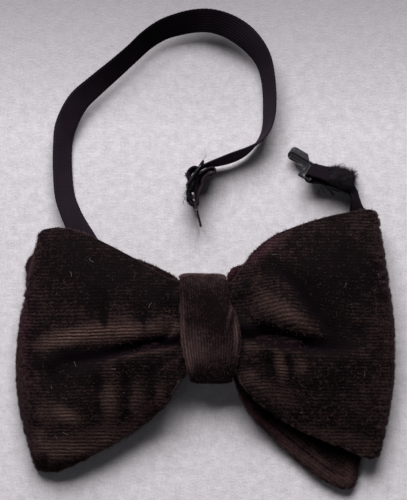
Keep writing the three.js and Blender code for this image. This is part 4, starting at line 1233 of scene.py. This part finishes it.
# Middle line in mm, the compass angle of the line across the band, and how steeply that line climbs
ELASTIC_ROUTE = table_of("x y z facing rise", [
    (50.0, 53.0, 5.6, 246, 47),  # cut end, on top of the clip's fold
    (45.1, 54.4, 6.1, 244, 49),
    (40.7, 55.6, 6.1, 242, 51),
    (37.3, 56.5, 6.1, 240, 52),
    (36.0, 57.0, 5.9, 239, 52),
    (35.0, 56.4, 5.0, 239, 52),  # through the clip's slot
    (35.1, 55.2, 4.25, 239, 52),
    (36.2, 54.4, 4.15, 239, 52),
    (40.0, 54.1, 4.6, 243, 51),
    (44.5, 53.0, 4.6, 243, 51),
    (48.3, 51.2, 4.6, 235, 57),
    (50.5, 49.0, 4.7, 219, 65),
    (51.4, 46.1, 4.5, 199, 66),
    (51.8, 42.4, 3.9, 182, 50),
    (52.0, 39.4, 2.4, 176, 17),
    (50.6, 35.0, 0.95, 162, 2),  # behind the right wing
    (46.8, 29.4, 0.75, 142, 0),
    (37.8, 20.8, 0.75, 129, 0),
    (26.0, 12.4, 0.75, 122, 0),
    (17.6, 7.4, 1.3, 117, 0),
    (11.5, 4.6, 2.35, 112, 0),
    (0.0, 2.0, 2.35, 88, 0),  # behind the knot
    (-11.5, 5.4, 2.35, 66, 0),
    (-18.0, 8.8, 1.3, 61, 0),
    (-26.0, 13.6, 0.75, 57, 0),
    (-34.6, 20.0, 0.75, 50, 0),
    (-41.2, 27.2, 0.8, 38, 0),
    (-45.0, 33.2, 1.2, 30, -12),  # out from behind the left wing
    (-47.4, 37.6, 2.2, 24, -28),
    (-49.6, 42.4, 2.9, 17, -34),
    (-51.4, 48.0, 3.4, 9, -37),
    (-52.2, 57.0, 3.7, 1, -40),
    (-52.1, 66.0, 4.4, -3, -40),
    (-50.7, 73.2, 5.4, -18, -29),
    (-46.6, 80.9, 6.4, -37, -29),
    (-40.4, 86.7, 7.1, -48, -37),
    (-33.6, 92.5, 7.5, -50, -44),
    (-27.2, 98.2, 7.6, -51, -48),
    (-22.4, 102.7, 7.4, -54, -45),
    (-16.8, 106.4, 7.0, -64, -38),
    (-11.2, 108.4, 6.6, -76, -29),
    (-5.6, 109.6, 6.4, -84, -20),
    (0.0, 109.7, 6.4, -94, -10),
    (5.6, 108.2, 6.6, -109, -5),
    (10.6, 105.4, 6.9, -125, -15),
    (14.6, 101.9, 7.0, -140, -30),
    (17.8, 97.7, 6.8, -153, -43),
    (19.6, 93.6, 6.5, -164, -52),
    (20.7, 88.2, 6.1, -173, -57),
    (21.1, 82.4, 5.8, -180, -58),
    (21.0, 77.0, 5.6, -184, -60),
    (20.4, 72.8, 5.4, -193, -66),
    (19.2, 69.6, 5.3, -205, -74),
    (17.2, 66.8, 5.3, -219, -83),
    (14.4, 64.5, 5.4, -235, -95),
    (11.2, 62.6, 5.4, -245, -105),
    (7.1, 60.9, 5.5, -249, -108),
    (2.8, 59.5, 5.5, -251, -103),
    (-1.0, 58.5, 5.5, -250, -94),
    (-3.0, 57.6, 5.5, -235, -90),
    (-4.3, 57.4, 5.5, -250, -90),  # through the slide's first window
    (-5.4, 57.7, 5.5, -265, -90),
    (-6.8, 57.2, 5.5, -235, -90),
    (-7.8, 56.0, 5.5, -205, -90),
    (-7.8, 54.5, 5.5, -175, -90),
    (-6.9, 53.2, 5.5, -145, -90),  # back through its second window
    (-6.2, 51.8, 5.5, -165, -90),
    (-6.9, 50.0, 5.5, -195, -90),
    (-7.6, 48.0, 5.5, -190, -90),
    (-7.2, 45.9, 5.5, -170, -90),
    (-6.3, 44.5, 5.5, -140, -90),
    (-5.2, 44.2, 5.5, -90, -90),  # through the eye plate's slot
    (-4.4, 45.0, 5.5, -40, -90),
    (-4.2, 46.6, 5.5, -10, -90),
    (-3.5, 49.0, 5.5, -20, -90),
    (-2.4, 51.0, 5.5, -20, -90),
    (-2.3, 52.9, 5.5, 5, -90),
    (-1.5, 54.4, 5.5, -30, -90),
    (0.0, 55.0, 5.5, -60, -90),
    (1.4, 55.5, 5.5, -60, -90),
    (1.9, 56.5, 5.5, 0, -90),  # slack curl beside the slide
    (1.1, 57.4, 5.5, 80, -90),
    (-0.3, 57.1, 5.5, 115, -90),
    (-1.7, 56.4, 5.5, 115, -90),
    (-3.0, 55.6, 5.5, 120, -90),
    (-4.1, 54.8, 5.5, 130, -90),  # sewn end at the slide's middle bar
])


def elastic_frame(places):
    """Middle, direction, line across and outward face of the band at places along the route's rows."""
    rows = ELASTIC_ROUTE
    facing, rise = np.radians(rows["facing"]), np.radians(rows["rise"])
    aims = np.stack([np.cos(rise) * np.cos(facing), np.cos(rise) * np.sin(facing), np.sin(rise)], axis=-1)
    middle, way = eased_curve(np.stack([rows["x"], rows["y"], rows["z"]], axis=-1), places)
    way = unit(way)
    width, _ = eased_curve(aims, places)
    width = unit(width - (width * way).sum(-1, keepdims=True) * way)
    return middle, way, width, np.cross(way, width)


ROUTE_SAMPLES = 6000


def even_places(count):
    """Places along the route, counted in rows, at equal distances along the curve, and those distances."""
    fine = np.linspace(0.0, len(ELASTIC_ROUTE["x"]) - 1.0, ROUTE_SAMPLES)
    middle, _, _, _ = elastic_frame(fine)
    walked = np.concatenate([[0.0], np.cumsum(np.linalg.norm(np.diff(middle, axis=0), axis=1))])
    distances = np.linspace(0.0, walked[-1], count)
    return np.interp(distances, walked, fine), distances


def tube_faces(rings, around):
    """Quads of a tube of rings, closed at each end by a flat cap of quads: point (r, s) is number
    r * around + s."""
    r, s = np.meshgrid(np.arange(rings - 1), np.arange(around), indexing="ij")
    on = (s + 1) % around
    here, above = r * around, (r + 1) * around
    quads = np.stack([here + s, here + on, above + on, above + s], axis=-1).reshape(-1, 4)
    row = np.arange(around // 2 - 1)
    cap = np.stack([row, around - 1 - row, around - 2 - row, row + 1], axis=-1)
    return np.concatenate([quads, cap, cap[:, ::-1] + (rings - 1) * around])


# The band's cross-section: shares of its half width, from edge to edge on its face and back underneath, with
# more points at the edges. It is thinner there and a little wavy, and its cords stand up as ribs.
elastic_places, elastic_distance = even_places(ELASTIC_STEPS)
elastic_middle, _, elastic_width, elastic_out = elastic_frame(elastic_places)
crowded = np.sin(np.linspace(-np.pi / 2, np.pi / 2, ELASTIC_ACROSS // 2))
even = np.linspace(-1.0, 1.0, ELASTIC_ACROSS // 2)
side_share = crowded * ELASTIC_CROWDED + even * (1 - ELASTIC_CROWDED)
share = np.concatenate([side_share, side_share[::-1]])
side = np.concatenate([np.ones(len(side_share)), -np.ones(len(side_share))])
half_thick = ELASTIC_THICKNESS / 2 * (1 - np.abs(share) ** 10 * EDGE_THINNING)
cords = CORD_RELIEF * np.cos(np.pi * ELASTIC_CORDS * share) * (1 - np.abs(share) ** 6)
edge_wave = EDGE_WAVE * np.sin(elastic_distance * 2 * np.pi / EDGE_WAVE_PITCH)[:, None]
w = share[None, :] * (ELASTIC_WIDTH / 2 - EDGE_WAVE + edge_wave * np.abs(share) ** 8)
h = side[None, :] * (half_thick + cords - CORD_RELIEF)[None, :]
lean = np.interp(elastic_places, *ELASTIC_LEAN)[:, None] * (1 + share[None, :]) / 2
points = (
    elastic_middle[:, None, :]
    + elastic_width[:, None, :] * w[..., None]
    + elastic_out[:, None, :] * (h + lean)[..., None]
)
steps, around = points.shape[:2]
faces = facing_out(points.reshape(-1, 3), tube_faces(steps, around))

elastic_finish = Finish("elastic_weave")
place, _ = elastic_finish.coordinates()
_, (along_band, across_band, _) = elastic_finish.coordinates("cloth")
weft_turn, cord_turn = along_band * (2 * np.pi / WEFT_PITCH), across_band * (2 * np.pi / CORD_PITCH)
weft = elastic_finish.add("ShaderNodeMath", {"operation": "SINE"}, {0: weft_turn})
cord_wave = elastic_finish.add("ShaderNodeMath", {"operation": "COSINE"}, {0: cord_turn})
worn = elastic_finish.noise(place, 0.006, 3.0, 0.6)
fluff = elastic_finish.noise(place, 0.0005, 2.0, 0.6)
band_painted_light = elastic_finish.attribute("nap")
# The yarn is lighter in worn patches, in its fluff, on the cords and the weft, and where painted light
# lightens the band
share_lit = worn * 0.5 + fluff * 0.35 + cord_wave * 0.16 + weft * 0.07 + band_painted_light - 0.62
woven = elastic_finish.add(
    "ShaderNodeBump", None, {"Strength": 0.5, "Distance": 0.0001, "Height": weft * 0.35 + cord_wave * 0.5}
)
elastic_finish.surface(
    {
        "Base Color": elastic_finish.colours(share_lit, (0.0018, 0.0010, 0.0019), (0.0310, 0.0215, 0.0310)),
        "Roughness": 0.85,
        "Specular IOR Level": 0.05,
        "Sheen Weight": 0.02,
        "Sheen Roughness": 0.35,
        "Sheen Tint": (0.75, 0.6, 0.8, 1.0),
        "Normal": woven,
    }
)
elastic = new_piece("elastic_band", points.reshape(-1, 3), faces, elastic_finish.material)
dress(
    elastic,
    points,
    np.broadcast_to(elastic_distance[:, None], points.shape[:2]),
    np.broadcast_to(w, points.shape[:2]),
    np.broadcast_to(np.interp(elastic_distance, *ELASTIC_PAINTED_LIGHT)[:, None], points.shape[:2]),
)
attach(elastic, "root")
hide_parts("neck_strap")

# Fluff: loose fibres of the elastic's own yarn. The cut end is frayed to a thick tuft over the clip, and the
# edge beside the eye plate is frayed a little. The places are distances from the cut end.
FRAYED_END = (4.5, 12.5)
FLUFF_LEAN = 1.2
FRAYED_EDGE_BEGINS, FRAYED_EDGE_ENDS = (358.0, 361.0), (371.0, 374.0)
FRAYED_EDGE_ABOVE = 4.0
SHORT_FLUFF, END_FLUFF, EDGE_FLUFF = 0.5, 2.9, 1.3
END_CHANCE, END_STRAYS, EDGE_STRAYS = 3.0, 1e-5, 1e-7
fluff_finish = pile_finish("elastic_fluff", (0.0045, 0.0038, 0.0050), (0.034, 0.029, 0.036))
at = elastic_distance[faces // around].mean(axis=1)
end_fray = 1.0 - smooth(at, *FRAYED_END)
edge_fray = smooth(at, *FRAYED_EDGE_BEGINS) * (1.0 - smooth(at, *FRAYED_EDGE_ENDS))
edge_fray = edge_fray * (over_faces(points[..., 2], faces) > FRAYED_EDGE_ABOVE)
for name, chance, longest, count, seed in (
    ("cut_end_fluff", end_fray * END_CHANCE + END_STRAYS, SHORT_FLUFF + END_FLUFF * end_fray**2, 12000, 21),
    ("cut_edge_fluff", edge_fray + EDGE_STRAYS, np.full(len(faces), EDGE_FLUFF), 2600, 22),
):
    fluff_piece = loose_pile(name, points, faces, chance, count, longest, fluff_finish, seed, FLUFF_LEAN)
    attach(fluff_piece, "root")

# Fittings: the slide, the eye plate and the hook clip are stamped from 0.8 mm sheet metal, their edges
# broken, and painted dark. The paint is worn through to bright metal in a few flecks.
FITTING_BEVEL = 0.16
FLAT_ANGLE, SHARP_ANGLE = np.radians(1.0), np.radians(35.0)
BARE_METAL = (0.5, 0.49, 0.5, 1.0)
FLECK_SOFTNESS = 0.06


def painted_metal(name, dark, light, bare_from):
    """Dark grey-purple paint, a little glossy, with bright worn flecks where a noise is above bare_from."""
    finish = Finish(name)
    place, _ = finish.coordinates()
    cloud = finish.noise(place, 0.003, 3.0, 0.6)
    fleck = finish.noise(place, 0.0011, 2.0, 0.5)
    bare_range = {"From Min": bare_from, "From Max": bare_from + FLECK_SOFTNESS}
    bare = finish.add("ShaderNodeMapRange", None, {"Value": fleck, **bare_range})
    paint = finish.colours(cloud, dark, light)
    colour = finish.add("ShaderNodeMix", {"data_type": "RGBA"}, {0: bare, 6: paint, 7: BARE_METAL}, 2)
    return finish.surface(
        {
            "Base Color": colour,
            "Metallic": bare * 0.9,
            "Roughness": cloud * 0.2 + 0.38,
            "Specular IOR Level": 0.22,
        }
    )


# The hook clip's place in mm and its turns in degrees, and how its tongue is filed, in mm along and across
CLIP_PLACE = (35.3, 56.2, 5.0)
CLIP_HEADING, CLIP_ROLL = 149.0, 52.0
TONGUE_SIDE, TONGUE_FREE_END = -5.3, 1.9
FILED_SIDE, FILED_CORNER = 1.0, 1.8
FILED_WITHIN = 0.05


def filed_hook(points):
    """The hook clip's points, in mm, with its tongue filed narrower and its free end's corner slanted."""
    heading, roll = np.radians(CLIP_HEADING), np.radians(CLIP_ROLL)
    along = np.array([np.cos(heading), np.sin(heading), 0.0])
    across = np.array([-np.sin(heading) * np.cos(roll), np.cos(heading) * np.cos(roll), np.sin(roll)])
    from_clip = points - np.array(CLIP_PLACE)
    on_side = np.abs(from_clip @ across - TONGUE_SIDE) < FILED_WITHIN
    at_corner = on_side & (np.abs(from_clip @ along - TONGUE_FREE_END) < FILED_WITHIN)
    return points + FILED_SIDE * on_side[:, None] * across + FILED_CORNER * at_corner[:, None] * along


clip_paint = painted_metal("clip_paint", (0.019, 0.0168, 0.0205), (0.034, 0.031, 0.036), bare_from=0.66)
# The slide and the eye plate take a darker copy of the clip's paint, painted shade, with more bare flecks
plate_paint_shaded = painted_metal("plate_paint_shaded", (0.010, 0.0080, 0.0105), (0.021, 0.0175, 0.022), bare_from=0.60)
for node, paint in (("slide_adjuster", plate_paint_shaded), ("eye_plate", plate_paint_shaded), ("hook_clip", clip_paint)):
    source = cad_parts[node]
    mesh = source.data.copy()
    mesh.name = node + "_metal"
    fitting = bpy.data.objects.new(node + "_metal", mesh)
    bpy.context.scene.collection.objects.link(fitting)
    mesh.transform(source.matrix_world)
    shell = bmesh.new()
    shell.from_mesh(mesh)
    bmesh.ops.remove_doubles(shell, verts=shell.verts, dist=1e-6)
    bmesh.ops.dissolve_limit(shell, angle_limit=FLAT_ANGLE, verts=shell.verts, edges=shell.edges)
    shell.to_mesh(mesh)
    shell.free()
    if node == "hook_clip":
        corners = np.zeros(len(mesh.vertices) * 3, np.float32)
        mesh.vertices.foreach_get("co", corners)
        mesh.vertices.foreach_set("co", (filed_hook(corners.reshape(-1, 3) / MM) * MM).ravel())
    mesh.materials.clear()
    mesh.materials.append(paint)
    bevel = fitting.modifiers.new("edges", "BEVEL")
    bevel.width = FITTING_BEVEL * MM
    bevel.segments = 2
    bevel.limit_method = "ANGLE"
    bevel.angle_limit = SHARP_ANGLE
    mesh.polygons.foreach_set("use_smooth", np.zeros(len(mesh.polygons), bool))
    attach(fitting, "root")
    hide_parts(node)

# Loose threads: single yarns that hang out of the frayed elastic at the clip, the eye plate and the slide.
# Each is a radius and the points that its middle line runs through.
THREAD_SIDES = 6
THREAD_SIDES_FROM = np.array([0.2, 0.3, 0.93])
THREAD_STATIONS = 20
LOOSE_THREADS = [
    (0.20, [(39.6, 53.4, 3.0), (40.8, 51.6, 2.6), (41.8, 50.2, 1.8), (42.8, 49.4, 0.9), (43.8, 48.2, 0.5)]),
    (0.17, [(40.6, 53.0, 3.2), (41.9, 51.0, 2.4), (43.0, 50.3, 1.6), (44.2, 50.0, 0.9), (45.4, 49.4, 0.5)]),
    (0.10, [(39.6, 53.2, 3.0), (39.8, 51.4, 2.4), (39.0, 50.4, 1.4), (38.4, 49.2, 0.6), (38.9, 48.3, 0.4)]),
    (0.09, [(40.2, 53.0, 3.0), (40.7, 51.2, 1.8), (40.0, 50.0, 1.0), (40.9, 49.0, 0.4)]),
    (0.09, [(42.6, 52.6, 3.6), (43.8, 50.8, 2.6), (45.2, 51.0, 1.8), (46.4, 50.2, 0.9)]),
    (0.08, [(48.5, 52.6, 5.4), (50.8, 50.4, 5.0), (51.8, 50.2, 4.4), (52.5, 49.2, 3.8)]),
    (0.08, [(49.2, 55.0, 8.4), (50.6, 56.2, 8.8), (51.6, 56.0, 8.4), (52.3, 54.8, 7.6)]),
    (0.08, [(45.0, 56.6, 9.0), (45.6, 58.2, 9.6), (46.8, 58.7, 9.4), (47.7, 58.2, 9.0)]),
    (0.07, [(-8.0, 49.6, 8.0), (-8.9, 48.7, 7.0), (-9.2, 47.5, 5.6), (-8.8, 46.6, 4.0)]),
    (0.07, [(-7.6, 47.4, 8.6), (-8.8, 46.6, 7.6), (-9.4, 45.2, 6.0), (-9.0, 44.0, 4.6)]),
    (0.07, [(-2.6, 59.2, 9.0), (-2.2, 60.4, 9.4), (-1.6, 61.2, 9.0), (-1.4, 62.0, 8.2)]),
]


def thread(points, radius, count):
    """A thin closed tube carried along a curve through points: rings of a few sides, ended by flat caps."""
    rows = np.array(points, float)
    line, way = eased_curve(rows, np.linspace(0.0, len(rows) - 1.0, count))
    way = unit(way)
    side_a = unit(np.cross(way, THREAD_SIDES_FROM))
    side_b = np.cross(way, side_a)
    turn = np.linspace(0.0, 2 * np.pi, THREAD_SIDES, endpoint=False)[None, :, None]
    ring = line[:, None] + radius * (np.cos(turn) * side_a[:, None] + np.sin(turn) * side_b[:, None])
    ring = ring.reshape(-1, 3)
    return ring, facing_out(ring, tube_faces(count, THREAD_SIDES))


def threads(name, rows, count, material):
    """Several threads as one piece, from their radii and points."""
    made = [thread(points, radius, count) for radius, points in rows]
    size = count * THREAD_SIDES
    faces = np.concatenate([f + size * number for number, (_, f) in enumerate(made)])
    return new_piece(name, np.concatenate([p for p, _ in made]), faces, material)


loose_threads = threads("loose_threads", LOOSE_THREADS, THREAD_STATIONS, fluff_finish)
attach(loose_threads, "root")

# Lint: a few short pale fibres that lie caught in the pile of the front bow, each slightly bent, turned at
# random and a little above the cloth.
LINT_RADIUS = 0.042
LINT_HALF_LENGTH = (0.35, 1.1)
LINT_STATIONS = 7
LINT_BEND = 0.3
LINT_ABOVE_CLOTH = 0.28
LINT_PLACES = [
    (-47.2, -12.3), (-55.6, -20.4), (-30.2, -22.5), (-33.8, -14.0), (-50.6, -36.4), (-53.8, -37.9),
    (-53.8, 12.4), (-48.8, 19.1), (-21.0, 8.2), (-41.5, 24.0), (47.7, -29.9), (32.0, -29.3),
    (59.3, 19.0), (47.3, 15.4), (54.2, -16.0), (22.4, 26.0),
]
lint_random = np.random.default_rng(5)
lint_rows = []
for lint_x, lint_y in LINT_PLACES:
    heading, half_length = lint_random.uniform(0, 2 * np.pi), lint_random.uniform(*LINT_HALF_LENGTH)
    share = np.array([-1.0, -0.3, 0.4, 1.0]) * half_length
    bend = lint_random.uniform(-LINT_BEND, LINT_BEND) * (1 - (share / half_length) ** 2)
    x = lint_x + share * np.cos(heading) - bend * np.sin(heading)
    y = lint_y + share * np.sin(heading) + bend * np.cos(heading)
    lint_rows.append((LINT_RADIUS, np.stack([x, y, front_top(x, y) + LINT_ABOVE_CLOTH], axis=-1)))
lint_finish = Finish("lint")
place, _ = lint_finish.coordinates()
lint_colour = lint_finish.colours(lint_finish.noise(place, 0.001), (0.10, 0.085, 0.085), (0.42, 0.40, 0.40))
lint_finish.surface({"Base Color": lint_colour, "Roughness": 0.8})
lint = threads("lint", lint_rows, LINT_STATIONS, lint_finish.material)
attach(lint, "root")
